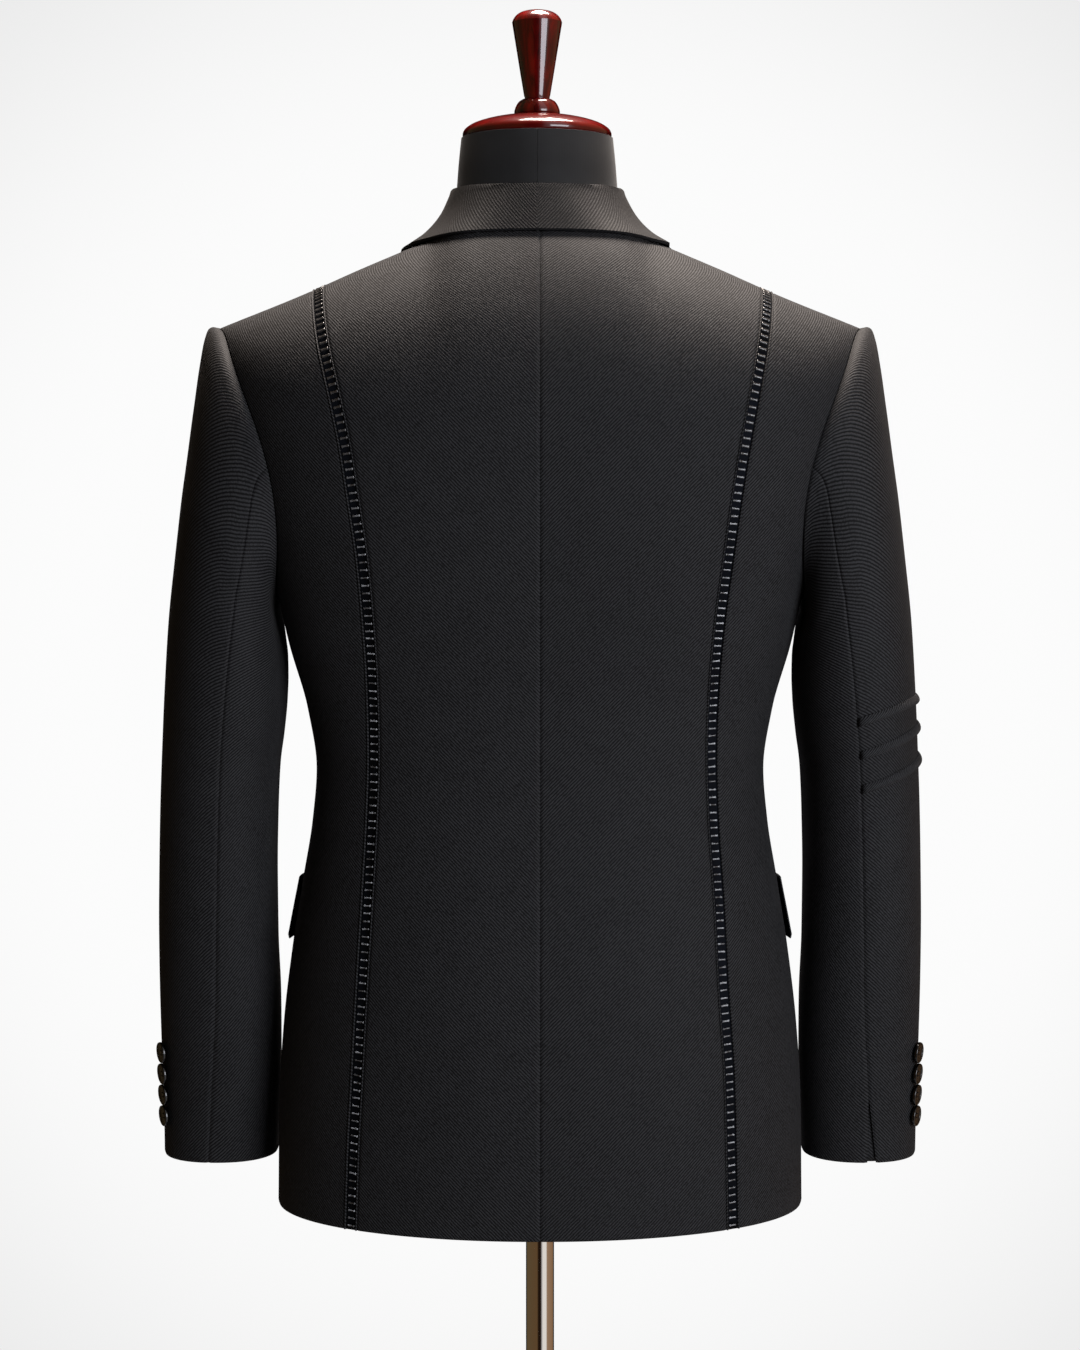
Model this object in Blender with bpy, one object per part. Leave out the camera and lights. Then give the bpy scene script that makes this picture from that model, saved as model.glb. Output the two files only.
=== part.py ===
"""An evening jacket standing on a limbless dress form.

Metres, +Z up, floor at z = 0, the jacket's front faces -Y.  Heights named "up" are
measured from the jacket's hem.  The wearer's left is +X.  Every cloth piece is a thin
wall between an outer sheet, read from one shared surface, and the same sheet moved in
along its normals, so neighbours follow each other at the seams.
"""
import math
from functools import lru_cache

import bmesh
import bpy
import numpy as np
from mathutils import Matrix, Vector

# ---------------------------------------------------------------- driving dimensions
HEM_Z = 0.680              # hem above the floor
TIP_UP = 0.6756            # shoulder point above the hem
SHOULDER_X = 0.2454        # and off the middle
ARMPIT_UP = 0.470          # lowest point of the armhole
NECK_UP = 0.743            # neckline, where the collar is sewn on
FRONT_NECK_UP = 0.742
CLOTH = 0.0020             # body and sleeve cloth with its canvas
SEAM_GAP = 0.0003          # between neighbouring pieces
ARMHOLE_GAP = 0.0006       # and round the armhole
QUARTER = 0.27             # length of a quarter of the body's outline, near enough
LAY_GAP = 0.0005           # under a piece that lies on another
LIE_GAP = 0.0011           # under a wide one
RIDGE_SHARE = 0.0012       # the back and the front stop this short of the ridge
ROW_CLEAR = 0.0015         # rows of corners stay this far apart
NORMAL_STEPS = (0.012, 0.0008)       # share and height over which a normal is taken

ARMHOLE_BACK = 0.265       # depth of the back armhole, as a share of the back quarter
ARMHOLE_SKEW = 0.025       # it reaches further back low down
ARMHOLE_FRONT = 0.30       # depth of the front armhole
FRONT_TOP_SHARE = 0.0036   # least width of the front at the top of the shoulder

TRIM_WIDTH = 0.0092        # ladder trim
TRIM_SUNK = 0.0007         # its band lies below the cloth's face
TRIM_CLOTH = 0.0012
TRIM_END_SHARE = 0.0018    # it ends this near the shoulder's ridge

SPREAD_FROM = 0.36         # the panels' inner columns begin to give way to the armhole

UNDERLAP_DROP = 0.0027     # the right front passes under the left one
UNDERLAP_FROM = 0.070      # and begins to sink here
UNDERLAP_EASE = 0.030

COLLAR_CLOTH = 0.0021
COLLAR_GAP = 0.0018         # under its edge
COLLAR_ROLL = 0.0025       # half the width of the roll at the top of the collar
COLLAR_SEAM_IN = 0.006     # its seam ahead of the shoulder, in from the front's edge
# Depths below the top of the roll: inside of the stand, the roll's two rounds, the start
# of the fall, and the hollow between stand and fall, which lies a little further out.
STAND_DOWN = 0.0040
ROLL_DOWN = (0.0006, 0.0010)
FALL_DOWN = 0.0048
HOLLOW_DOWN = 0.0062
HOLLOW_OUT = 0.0009
FALL_PARTS = (0.0, 0.34, 0.67, 1.0)
TUCK_SHARE = 0.7           # the stand's middle gives way by this share of the fall's bulge
LAPEL_CLOTH = 0.0020
LAPEL_CROWN = 0.0012       # it stands up this much more half way across
LAPEL_START = {1: 0.372, -1: 0.384}    # the left one begins lower
LAPEL_SECOND_UP = 0.393
LAPEL_THIRD_UP = 0.412
LAPEL_EDGE_IN = 0.0004     # its roll lies just inside the front's edge
LAPEL_RIGHT_IN = 0.0012    # the right one stops at the edge of the left front

FLAP_CLOTH = 0.0024
FLAP_FLARE = 0.0015
FLAP_TOP_UP = 0.253
FLAP_MIDDLE_UP = 0.228
FLAP_BOTTOM_UP = 0.203
FLAP_FROM = 0.02
FLAP_TO = -0.58
SIDE_SEAM = 0.05           # share of the back quarter between side and side seam

WELT_WIDTH = 0.0046
WELT_RISE = 0.0027
# Low half round of a welt: place across its width and share of its rise.
WELT_ROUND = ((-0.5, 0.12), (-0.28, 0.8), (0.0, 1.0), (0.28, 0.8), (0.5, 0.12))
WELT_SWEEP = 1.3           # it leaves the outer edge level and turns down later
WELT_SHORT = 1.0           # degrees it stops short of the sleeve's seams
SLEEVE_RADIUS = 0.05       # near enough, to turn a gap into degrees
CUFF_RADIUS = 0.045
CUFF_SLIT = {1: 0.0, -1: 0.0031}     # half opening of the cuff slit at its foot
CUFF_SLIT_ROW = 15.6                 # sleeve row where the slit begins

BUTTON_RADIUS = 0.0082
BUTTON_THICK = 0.0044
BUTTON_UPS = (0.0650, 0.0822, 0.0994, 0.1166)
BUTTON_ANGLE = 29.0
SLEEVE_BUTTON_GAP = 0.0001    # above the sleeve's curve; its flat faces lie inside that
FRONT_BUTTON_RADIUS = 0.0100
FRONT_BUTTON_UP = 0.352
FRONT_BUTTON_SHARE = -0.97 # the cloth under it is square to the body here

POLE_RADIUS = 0.0110
BASE_RADIUS = 0.190
FORM_FOOT_UP = 0.045
NECK_TOP_UP = 0.8193
NECK_X = 0.0022            # the form's neck leans a little to the wearer's left
COLLAR_X = 0.0020          # and takes the collar with it
COLLAR_X_TURNS = (119.0, 90.0)   # from none to all of it round the collar
FORM_UNDER = 0.0015        # the form's ridge lies this close under the cloth
FORM_SINK = 0.0060         # and falls away from it in front and behind
FORM_SINK_SHARE = 0.3

# ---------------------------------------------------------------- tables
# The cloth's outline, level by level: half width, depth behind and in front of the
# axis, and the squareness (2 is an ellipse) of the back and the front half.
LEVEL = ("up", "half", "back", "front", "square_back", "square_front")
TORSO = (
    (0.000, 0.2042, 0.1220, 0.1240, 2.08, 2.15),
    (0.086, 0.2025, 0.1240, 0.1220, 2.10, 2.15),
    (0.141, 0.1990, 0.1235, 0.1200, 2.15, 2.15),
    (0.202, 0.1918, 0.1180, 0.1160, 2.20, 2.20),
    (0.253, 0.1835, 0.1085, 0.1130, 2.25, 2.25),
    (0.300, 0.1755, 0.0990, 0.1115, 2.35, 2.30),
    (0.340, 0.1722, 0.0940, 0.1115, 2.35, 2.30),
    (0.385, 0.1785, 0.0940, 0.1150, 2.40, 2.30),
    (0.435, 0.1925, 0.1000, 0.1190, 2.50, 2.35),
    (0.470, 0.2005, 0.1060, 0.1205, 2.55, 2.40),
    (0.545, 0.2200, 0.1160, 0.1200, 2.60, 2.40),
    (0.590, 0.2310, 0.1185, 0.1200, 2.60, 2.40),
    (0.653, 0.2440, 0.1185, 0.1200, 2.60, 2.40),
    (TIP_UP, SHOULDER_X, 0.1185, 0.1200, 2.60, 2.40),
)
# Height of the ridge that runs over the shoulder, from the middle to the shoulder
# point.  From the heights below it, the back and the front arch over to that ridge.
RIDGE = (("x", "up"),
         (0.0000, 0.7730), (0.0500, 0.7665), (0.0640, 0.7590), (0.0715, 0.7520),
         (0.0820, 0.7430), (0.1016, 0.7347), (0.1337, 0.7211), (0.1774, 0.7022),
         (SHOULDER_X, TIP_UP))
ARCH_BACK = (0.590, 2.3)     # where the arch begins, and how square it is
ARCH_FRONT = (0.545, 2.0)

# Levels at which every body piece has a row of corners.
ROWS = (0.0, 0.012, 0.035, 0.075, 0.120, 0.165, 0.203, 0.228, 0.253, 0.285, 0.320,
        0.355, 0.395, 0.435, 0.470, 0.478, 0.498, 0.530, 0.570, 0.610, 0.640, 0.660,
        0.669, TIP_UP, 0.684, 0.693, 0.702, 0.711, 0.720, 0.729, 0.737, NECK_UP)

# Ladder trim: distance of its middle from the centre back, on the wearer's left and
# right, where the photo shows it a little further out.
TRIM = (("up", "left", "right"),
        (0.000, 0.1420, 0.1448), (0.065, 0.1392, 0.1429), (0.115, 0.1362, 0.1413),
        (0.182, 0.1325, 0.1368), (0.248, 0.1287, 0.1336), (0.307, 0.1256, 0.1298),
        (0.360, 0.1241, 0.1284), (0.411, 0.1247, 0.1299), (0.453, 0.1267, 0.1329),
        (0.500, 0.1303, 0.1384), (0.547, 0.1366, 0.1444), (0.583, 0.1420, 0.1499),
        (0.618, 0.1492, 0.1562), (0.663, 0.1598, 0.1648), (0.705, 0.1672, 0.1714))

# Front edge, cut away below the button, and the lapel's roll line above it.
FRONT_EDGE = (("up", "x"),
              (0.000, 0.105), (0.012, 0.072), (0.035, 0.044), (0.075, 0.018),
              (0.120, 0.001), (0.203, -0.014), (0.285, -0.019), (0.355, -0.018),
              (0.420, 0.012), (0.500, 0.038), (0.600, 0.061), (0.680, 0.074),
              (0.720, 0.078), (0.743, 0.082))

LAPEL_TOP_UP = 0.697
# Lapel, row by row: height on the roll line, its outer edge, and how far the row dips
# half way, where the top one meets the collar's end below the peak.
LAPEL = (("roll_up", "edge_x", "edge_up", "dip"),
         (0.372, 0.004, 0.374, 0.000), (0.412, 0.042, 0.416, 0.000),
         (0.455, 0.078, 0.461, 0.000), (0.500, 0.104, 0.513, 0.000),
         (0.545, 0.122, 0.566, 0.000), (0.590, 0.135, 0.618, 0.000),
         (0.632, 0.143, 0.662, 0.000), (0.672, 0.147, 0.692, 0.008),
         (LAPEL_TOP_UP, 0.148, 0.706, 0.018))

# Sleeve rings from armhole to cuff: highest point, lowest point, middle in depth, half
# depths, and how far the ring has left the armhole's own curve.
SLEEVE = (("outer_x", "outer_up", "inner_x", "inner_up", "mid_y", "half_y", "free"),
          (SHOULDER_X, TIP_UP, 0.2005, ARMPIT_UP, 0.000, 0.0720, 0.00),
          (0.2516, 0.6748, 0.2022, 0.4640, 0.000, 0.0725, 0.15),
          (0.2564, 0.6672, 0.2022, 0.4570, 0.000, 0.0730, 0.35),
          (0.2605, 0.6465, 0.2008, 0.4500, 0.000, 0.0735, 0.55),
          (0.2645, 0.6180, 0.1986, 0.4420, 0.000, 0.0738, 0.75),
          (0.2695, 0.5800, 0.1966, 0.4330, 0.000, 0.0740, 0.90),
          (0.2745, 0.5450, 0.1954, 0.4230, -0.001, 0.0738, 1.00),
          (0.2800, 0.5000, 0.1952, 0.4080, -0.001, 0.0728, 1.00),
          (0.2850, 0.4550, 0.1960, 0.3900, -0.002, 0.0708, 1.00),
          (0.2885, 0.4050, 0.1985, 0.3650, -0.003, 0.0675, 1.00),
          (0.2912, 0.3600, 0.2018, 0.3400, -0.005, 0.0640, 1.00),
          (0.2938, 0.3100, 0.2037, 0.3000, -0.007, 0.0605, 1.00),
          (0.2955, 0.2600, 0.2046, 0.2550, -0.009, 0.0575, 1.00),
          (0.2968, 0.2100, 0.2046, 0.2080, -0.012, 0.0545, 1.00),
          (0.2972, 0.1600, 0.2034, 0.1590, -0.016, 0.0515, 1.00),
          (0.2970, 0.1100, 0.2040, 0.1100, -0.021, 0.0485, 1.00),
          (0.2966, 0.0700, 0.2058, 0.0700, -0.026, 0.0460, 1.00),
          (0.2968, 0.0310, 0.2076, 0.0310, -0.030, 0.0440, 1.00))
SLEEVE_SQUARE = 2.2
SLEEVE_LAST = len(SLEEVE) - 2
FRONT_SEAM_ANGLE = 250.0
TOP_COLUMNS = 11           # the welts follow the same ones
# Elbow seam: angle round the sleeve (0 outer, 90 back) at some of the rings.
ELBOW = (("row", "angle"),
         (0.0, 92.0), (1.4, 94.0), (2.7, 98.5), (4.3, 101.5), (6.0, 100.3), (7.7, 98.0),
         (9.0, 96.6), (10.5, 96.3), (12.3, 95.0), (13.8, 92.2), (15.4, 87.7), (17.0, 84.0))

# Welts across the right sleeve: sleeve row at the elbow seam, at the outer edge and
# at the front seam.
WELTS = (("at_elbow", "at_outer", "at_front"),
         (9.11, 9.25, 9.50), (9.87, 9.72, 10.10), (10.50, 10.24, 10.70))

# Collar from the centre back to its front end: height of its seam, its roll round the
# neck, its lower edge, which lies on the body, and how far the fall stands out.
COLLAR = (("turn", "seam_up", "roll_r", "roll_up", "edge_x", "edge_up", "bulge"),
          (0.0, 0.7436, 0.0624, 0.7790, 0.0000, 0.7415, 0.0000),
          (18.0, 0.7436, 0.0624, 0.7792, 0.0280, 0.7412, 0.0000),
          (36.0, 0.7436, 0.0624, 0.7797, 0.0520, 0.7402, -0.0012),
          (54.0, 0.7436, 0.0624, 0.7802, 0.0710, 0.7390, -0.0028),
          (72.0, 0.7436, 0.0624, 0.7805, 0.0865, 0.7370, -0.0042),
          (90.0, 0.7436, 0.0626, 0.7795, 0.0996, 0.7353, -0.0046),
          (105.0, 0.7410, 0.0676, 0.7700, 0.1075, 0.7265, -0.0015),
          (119.0, 0.7330, 0.0815, 0.7530, 0.1125, 0.7165, 0.0020),
          (128.0, 0.7190, 0.0940, 0.7350, 0.1145, 0.7050, 0.0035),
          (131.5, 0.7085, 0.1000, 0.7190, 0.1148, 0.6950, 0.0040),
          (133.4, 0.6995, 0.1060, 0.7060, 0.1140, 0.6860, 0.0035))
# Share of the back quarter at which it is sewn on; ahead of the shoulder it is sewn
# beside the front's edge.
COLLAR_SEAM = (("turn", "s"),
               (0.0, 1.00), (18.0, 0.80), (36.0, 0.59), (54.0, 0.40), (72.0, 0.20),
               (90.0, 0.00))
COLLAR_TURNS = (0.0, 9.0, 18.0, 27.0, 36.0, 45.0, 54.0, 63.0, 72.0, 81.0, 90.0, 97.5, 105.0,
                112.0, 119.0, 123.5, 128.0, 131.5, 133.4)

# Dress form below the shoulder line, then its neck.
FORM = (("up", "half", "back", "front", "square_back", "square_front"),
        (FORM_FOOT_UP, 0.1880, 0.1100, 0.1120, 2.1, 2.1),
        (0.100, 0.1895, 0.1130, 0.1100, 2.1, 2.1),
        (0.150, 0.1860, 0.1120, 0.1080, 2.1, 2.1),
        (0.202, 0.1805, 0.1065, 0.1045, 2.2, 2.2),
        (0.253, 0.1725, 0.0975, 0.1015, 2.2, 2.2),
        (0.300, 0.1640, 0.0880, 0.1000, 2.3, 2.2),
        (0.340, 0.1605, 0.0830, 0.1000, 2.3, 2.2),
        (0.385, 0.1665, 0.0830, 0.1030, 2.3, 2.2),
        (0.435, 0.1790, 0.0885, 0.1080, 2.4, 2.3),
        (0.470, 0.1860, 0.0945, 0.1090, 2.4, 2.3),
        (0.545, 0.1990, 0.1040, 0.1060, 2.5, 2.4),
        (0.600, 0.2090, 0.1080, 0.1045, 2.5, 2.4),
        (0.645, 0.2160, 0.1030, 0.0960, 2.3, 2.1),
        (0.670, 0.2170, 0.0980, 0.0905, 2.2, 2.0))
FORM_SHOULDER_UPS = (0.6870, 0.693, 0.702, 0.711, 0.720, 0.729, 0.737, 0.743)
FORM_RING = 8                # corners in each quarter of a ring
NECK = (("up", "radius"),
        (0.6870, 0.0865), (0.7020, 0.0806), (0.7200, 0.0740), (0.7370, 0.0685),
        (0.7520, 0.0655), (0.7640, 0.0636), (0.7780, 0.0616), (0.8000, 0.0598),
        (NECK_TOP_UP, 0.0578))

# Turned profiles, radius then height: the neck's pieces above the hem, the base above
# the floor, and a button's in shares of its radius and thickness.
CAP_PROFILE = ((0.0, 0.8196), (0.0556, 0.8196), (0.0566, 0.8208), (0.0566, 0.8232),
               (0.0548, 0.8262), (0.0490, 0.8298), (0.0390, 0.8330), (0.0270, 0.8354),
               (0.0160, 0.8366), (0.0, 0.8366))
BEAD_PROFILE = ((0.0, 0.8369), (0.0164, 0.8369), (0.0173, 0.8382), (0.0172, 0.8408),
                (0.0160, 0.8440), (0.0140, 0.8470), (0.0112, 0.8488), (0.0, 0.8488))
HANDLE_PROFILE = ((0.0, 0.8491), (0.0092, 0.8491), (0.0100, 0.8520), (0.0127, 0.8680),
                  (0.0190, 0.9066), (0.0181, 0.9090), (0.0160, 0.9117), (0.0125, 0.9140),
                  (0.0070, 0.9154), (0.0, 0.9158))
BASE_PROFILE = ((0.0, 0.0), (BASE_RADIUS, 0.0), (BASE_RADIUS, 0.006), (0.182, 0.0105),
                (0.120, 0.0150), (0.045, 0.0200), (0.030, 0.0240), (0.024, 0.0420),
                (0.0, 0.0420))
BUTTON_PROFILE = ((0.0, 0.0), (0.60, 0.0), (0.66, 0.30), (0.97, 0.42), (1.0, 0.60),
                  (0.95, 1.0), (0.74, 1.0), (0.62, 0.74), (0.0, 0.74))


# ---------------------------------------------------------------- reading the tables
def column(table, name):
    return np.array([row[table[0].index(name)] for row in table[1:]], float)


def smooth(xs, ys, x):
    """Cubic through the table's points that never swings past them."""
    step = np.diff(xs)
    rise = np.diff(ys) / step
    slope = np.empty(len(xs))
    slope[0], slope[-1] = rise[0], rise[-1]
    for i in range(1, len(xs) - 1):
        slope[i] = 0.0
        if rise[i - 1] * rise[i] > 0:
            near = 2 * step[i] + step[i - 1]
            far = step[i] + 2 * step[i - 1]
            slope[i] = (near + far) / (near / rise[i - 1] + far / rise[i])
    x = min(max(x, xs[0]), xs[-1])
    i = min(int(np.searchsorted(xs, x, side="right")) - 1, len(xs) - 2)
    t = (x - xs[i]) / step[i]
    return float((2 * t**3 - 3 * t**2 + 1) * ys[i] + (t**3 - 2 * t**2 + t) * step[i] * slope[i]
                 + (3 * t**2 - 2 * t**3) * ys[i + 1] + (t**3 - t**2) * step[i] * slope[i + 1])


def read(table, key, name, x):
    return smooth(column(table, key), column(table, name), x)


def ease(x):
    x = min(max(x, 0.0), 1.0)
    return x * x * (3 - 2 * x)


# ---------------------------------------------------------------- the body's surface
OUT_AND_UP = 0.02          # on the shoulder's ridge a normal that points out points up


@lru_cache(maxsize=None)
def level(up):
    rows = np.array(TORSO)
    return dict((name, smooth(rows[:, 0], rows[:, i], up)) for i, name in enumerate(LEVEL))


@lru_cache(maxsize=None)
def curve(half, depth, square):
    """One quarter of an outline, from the side to the centre."""
    turn = np.linspace(0.0, math.pi / 2, 121)
    return half * np.cos(turn).clip(0.0) ** (2.0 / square), depth * np.sin(turn) ** (2.0 / square)


def with_share(x, y):
    along = np.concatenate(([0.0], np.cumsum(np.hypot(np.diff(x), np.diff(y)))))
    return along / along[-1], x, y


def size_curve(size, behind):
    if behind:
        return curve(size["half"], size["back"], size["square_back"])
    return curve(size["half"], size["front"], size["square_front"])


@lru_cache(maxsize=None)
def ridge_heights():
    xs = np.linspace(0.0, SHOULDER_X, 300)
    return xs, np.array([read(RIDGE, "x", "up", x) for x in xs])


@lru_cache(maxsize=None)
def quarter(up, behind):
    """One quarter of the cloth's outline at a level, with the share of its length."""
    x, y = size_curve(level(up), behind)
    start, power = ARCH_BACK if behind else ARCH_FRONT
    if up > start:
        xs, tops = ridge_heights()
        if up > TIP_UP:
            reach = float(np.interp(-up, -tops, xs))
            wide = x
            x = x * (reach / SHOULDER_X)
            y = np.interp(-x, -wide, y)
        climb = ((up - start) / (np.interp(x, xs, tops) - start)).clip(0.0, 1.0)
        y = y * (1.0 - climb ** power) ** (1.0 / power)
    return with_share(x, y)


def share_at(x, up, behind):
    """The share of the quarter, from the side, at which the outline is x off centre."""
    share, xs, _ = quarter(round(up, 6), behind)
    return float(np.interp(-x, -xs, share))


def on_outline(outline, s, up):
    """s runs from 0 at the side to 1 at the centre back, and to -1 at the centre front;
    past them it goes on round the other side."""
    mirror = 1.0
    if abs(s) > 1.0:
        s, mirror = math.copysign(2.0, s) - s, -1.0
    share, xs, ys = outline(s >= 0)
    x = float(np.interp(abs(s), share, xs))
    y = float(np.interp(abs(s), share, ys)) * (1.0 if s >= 0 else -1.0)
    return Vector((x * mirror, y, up))


def body_point(s, up):
    return on_outline(lambda behind: quarter(round(up, 6), behind), s, up)


def normal_of(surface, a, b, step_a, step_b):
    """Unit normal of a surface of two parameters, from differences."""
    along = surface(a + step_a, b) - surface(a - step_a, b)
    across = surface(a, b + step_b) - surface(a, b - step_b)
    return along.cross(across).normalized()


def body_normal(s, up):
    up = max(up, NORMAL_STEPS[1])
    normal = normal_of(body_point, s, up, *NORMAL_STEPS)
    outward = Vector((body_point(s, up).x, body_point(s, up).y, OUT_AND_UP))
    return normal if normal.dot(outward) > 0 else -normal


def front_share(x, up):
    """Like share_at on the front, also past the centre front."""
    if x < 0:
        return -2.0 + share_at(-x, up, False)
    return -share_at(x, up, False)


# ---------------------------------------------------------------- armhole and sleeve
ARMHOLE_MID = (TIP_UP + ARMPIT_UP) / 2
ARMHOLE_HALF = (TIP_UP - ARMPIT_UP) / 2


def armhole_share(turn):
    """Share on the back (plus) or front (minus) at an angle from the shoulder point."""
    if math.sin(turn) >= 0:
        return (ARMHOLE_BACK - ARMHOLE_SKEW * math.cos(turn)) * math.sin(turn)
    return ARMHOLE_FRONT * math.sin(turn)


def armhole_at(up, behind):
    """Share of the armhole's edge at a level; the side seam or ridge beyond its ends."""
    c = (up - ARMHOLE_MID) / ARMHOLE_HALF
    if abs(c) >= 1.0:
        return 0.0
    turn = math.acos(c)
    return armhole_share(turn if behind else -turn)


def armhole_point(turn):
    up = ARMHOLE_MID + ARMHOLE_HALF * math.cos(turn)
    s = armhole_share(turn)
    return body_point(s, up) + body_normal(s, up) * LAY_GAP


@lru_cache(maxsize=None)
def sleeve_ring(row):
    rows = np.arange(SLEEVE_LAST + 1.0)
    return dict((name, smooth(rows, column(SLEEVE, name), row)) for name in SLEEVE[0])


def oval_point(angle, ring):
    turn = math.radians(angle)
    out = math.copysign(abs(math.cos(turn)) ** (2 / SLEEVE_SQUARE), math.cos(turn))
    deep = math.copysign(abs(math.sin(turn)) ** (2 / SLEEVE_SQUARE), math.sin(turn))
    x = (ring["outer_x"] + ring["inner_x"] + out * (ring["outer_x"] - ring["inner_x"])) / 2
    up = (ring["outer_up"] + ring["inner_up"] + out * (ring["outer_up"] - ring["inner_up"])) / 2
    return Vector((x, ring["mid_y"] + deep * ring["half_y"], up))


def sleeve_point(angle, row):
    """Angle in degrees: 0 at the outer edge, 90 behind, 180 at the body, 270 in front."""
    ring = sleeve_ring(round(min(max(row, 0.0), SLEEVE_LAST), 5))
    point = oval_point(angle, ring)
    if ring["free"] < 1.0:
        pull = armhole_point(math.radians(angle)) - oval_point(angle, sleeve_ring(0))
        point += pull * (1.0 - ring["free"])
    return point


def sleeve_normal(angle, row):
    row = min(max(row, 0.03), SLEEVE_LAST - 0.03)
    normal = normal_of(sleeve_point, angle, row, 2.0, 0.03)
    ring = sleeve_ring(round(row, 5))
    middle = Vector(((ring["outer_x"] + ring["inner_x"]) / 2, ring["mid_y"],
                     (ring["outer_up"] + ring["inner_up"]) / 2))
    return normal if normal.dot(sleeve_point(angle, row) - middle) > 0 else -normal


def elbow_angle(row):
    return read(ELBOW, "row", "angle", row)


# ---------------------------------------------------------------- making objects
def clear_scene():
    for thing in list(bpy.data.objects):
        bpy.data.objects.remove(thing, do_unlink=True)


def material(name, colour, roughness, metallic=0.0, coat=0.0):
    made = bpy.data.materials.new(name)
    made.use_nodes = True
    shader = made.node_tree.nodes["Principled BSDF"]
    shader.inputs["Base Color"].default_value = (*colour, 1.0)
    shader.inputs["Roughness"].default_value = roughness
    shader.inputs["Metallic"].default_value = metallic
    shader.inputs["Coat Weight"].default_value = coat
    made.diffuse_color = (*colour, 1.0)
    return made


def finish(name, mesh_data, finish_material):
    """Turn a bmesh in hem heights into a named object standing at its height."""
    bmesh.ops.recalc_face_normals(mesh_data, faces=mesh_data.faces)
    mesh = bpy.data.meshes.new(name)
    mesh_data.to_mesh(mesh)
    mesh_data.free()
    mesh.materials.append(finish_material)
    mesh.shade_smooth()
    mesh.set_sharp_from_angle(angle=math.radians(50))
    thing = bpy.data.objects.new(name, mesh)
    bpy.context.scene.collection.objects.link(thing)
    return thing


def raised(point):
    return Vector((point.x, point.y, point.z + HEM_Z))


def shell(name, outer, inner, finish_material, side=1):
    """Closed wall between two matching grids of points, mirrored to one side."""
    data = bmesh.new()
    layers = []
    for grid in (outer, inner):
        layers.append([[data.verts.new(raised(Vector((p.x * side, p.y, p.z)))) for p in row]
                       for row in grid])
    rows, cols = len(outer), len(outer[0])
    for a in layers:
        for i in range(rows - 1):
            for j in range(cols - 1):
                data.faces.new((a[i][j], a[i][j + 1], a[i + 1][j + 1], a[i + 1][j]))
    border = ([(0, j) for j in range(cols)] + [(i, cols - 1) for i in range(1, rows)]
              + [(rows - 1, j) for j in range(cols - 2, -1, -1)]
              + [(i, 0) for i in range(rows - 2, 0, -1)])
    for (i, j), (k, m) in zip(border, border[1:] + border[:1]):
        data.faces.new((layers[0][i][j], layers[0][k][m], layers[1][k][m], layers[1][i][j]))
    return finish(name, data, finish_material)


def wall(name, place, rows, cols, thick, finish_material, side=1):
    """A wall from place(row, col), which gives an outer point and its normal."""
    outer, inner = [], []
    for row in rows:
        found = [place(row, col) for col in cols]
        outer.append([point for point, _ in found])
        inner.append([point - normal * thick for point, normal in found])
    return shell(name, outer, inner, finish_material, side)


def turned(name, profile, finish_material, segments, frame=None, from_hem=True):
    """A profile of radius and height, spun round the upright axis or a frame's axis."""
    data = bmesh.new()
    chain = [data.verts.new((radius, 0.0, height)) for radius, height in profile]
    edges = [data.edges.new(pair) for pair in zip(chain, chain[1:])]
    bmesh.ops.spin(data, geom=chain + edges, axis=(0, 0, 1), cent=(0, 0, 0),
                   angle=2 * math.pi, steps=segments, use_merge=True)
    bmesh.ops.remove_doubles(data, verts=data.verts, dist=1e-6)
    if frame is not None:
        bmesh.ops.transform(data, matrix=frame, verts=data.verts)
    if from_hem:
        bmesh.ops.translate(data, vec=(0, 0, HEM_Z), verts=data.verts)
    return finish(name, data, finish_material)


# ---------------------------------------------------------------- body panels
def panel(name, shares, rows, finish_material, side=1, thick=CLOTH, sink=0.0):
    """A body panel with one row per level, at the shares that shares(up) lists for it."""
    def place(up, k):
        s = shares(up)[k]
        point, normal = body_point(s, up), body_normal(s, up)
        drop = sink(point) if callable(sink) else sink
        return point - normal * drop, normal

    wall(name, place, rows, range(len(shares(rows[0]))), thick, finish_material, side)


def spread(first, last, count, edge):
    """Evenly spaced shares, of which the last is moved to the panel's own edge."""
    return list(np.linspace(first, last, count)[:-1]) + [edge]


def side_line(up, depth):
    """A calmer line than the armhole's edge, for the panels' inner columns."""
    c = (up - ARMHOLE_MID) / ARMHOLE_HALF
    if c > 0:
        return depth * max(1.0 - c * c, 0.0)
    give = ease((up - SPREAD_FROM) / (ARMHOLE_MID - SPREAD_FROM))
    return SIDE_SEAM + (depth - SIDE_SEAM) * give


def trim_share(up, side, offset):
    """Share at a distance from the trim's middle, or the shoulder ridge above it."""
    x = read(TRIM, "up", "left" if side > 0 else "right", up) + offset
    return max(share_at(x, up, True), RIDGE_SHARE)


def levels(last, also=None):
    """The shared rows up to a level, with one more row, kept clear of each other."""
    extra = [last] if also is None else [also, last]
    return sorted([up for up in ROWS if up < last - ROW_CLEAR
                   and all(abs(up - other) > ROW_CLEAR for other in extra)] + extra)


def trim_end(side, offset):
    """Level at which a line beside the trim meets the shoulder ridge."""
    low, high = TIP_UP, NECK_UP
    for _ in range(40):
        mid = (low + high) / 2
        if trim_share(mid, side, offset) > TRIM_END_SHARE:
            low = mid
        else:
            high = mid
    return low


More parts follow.
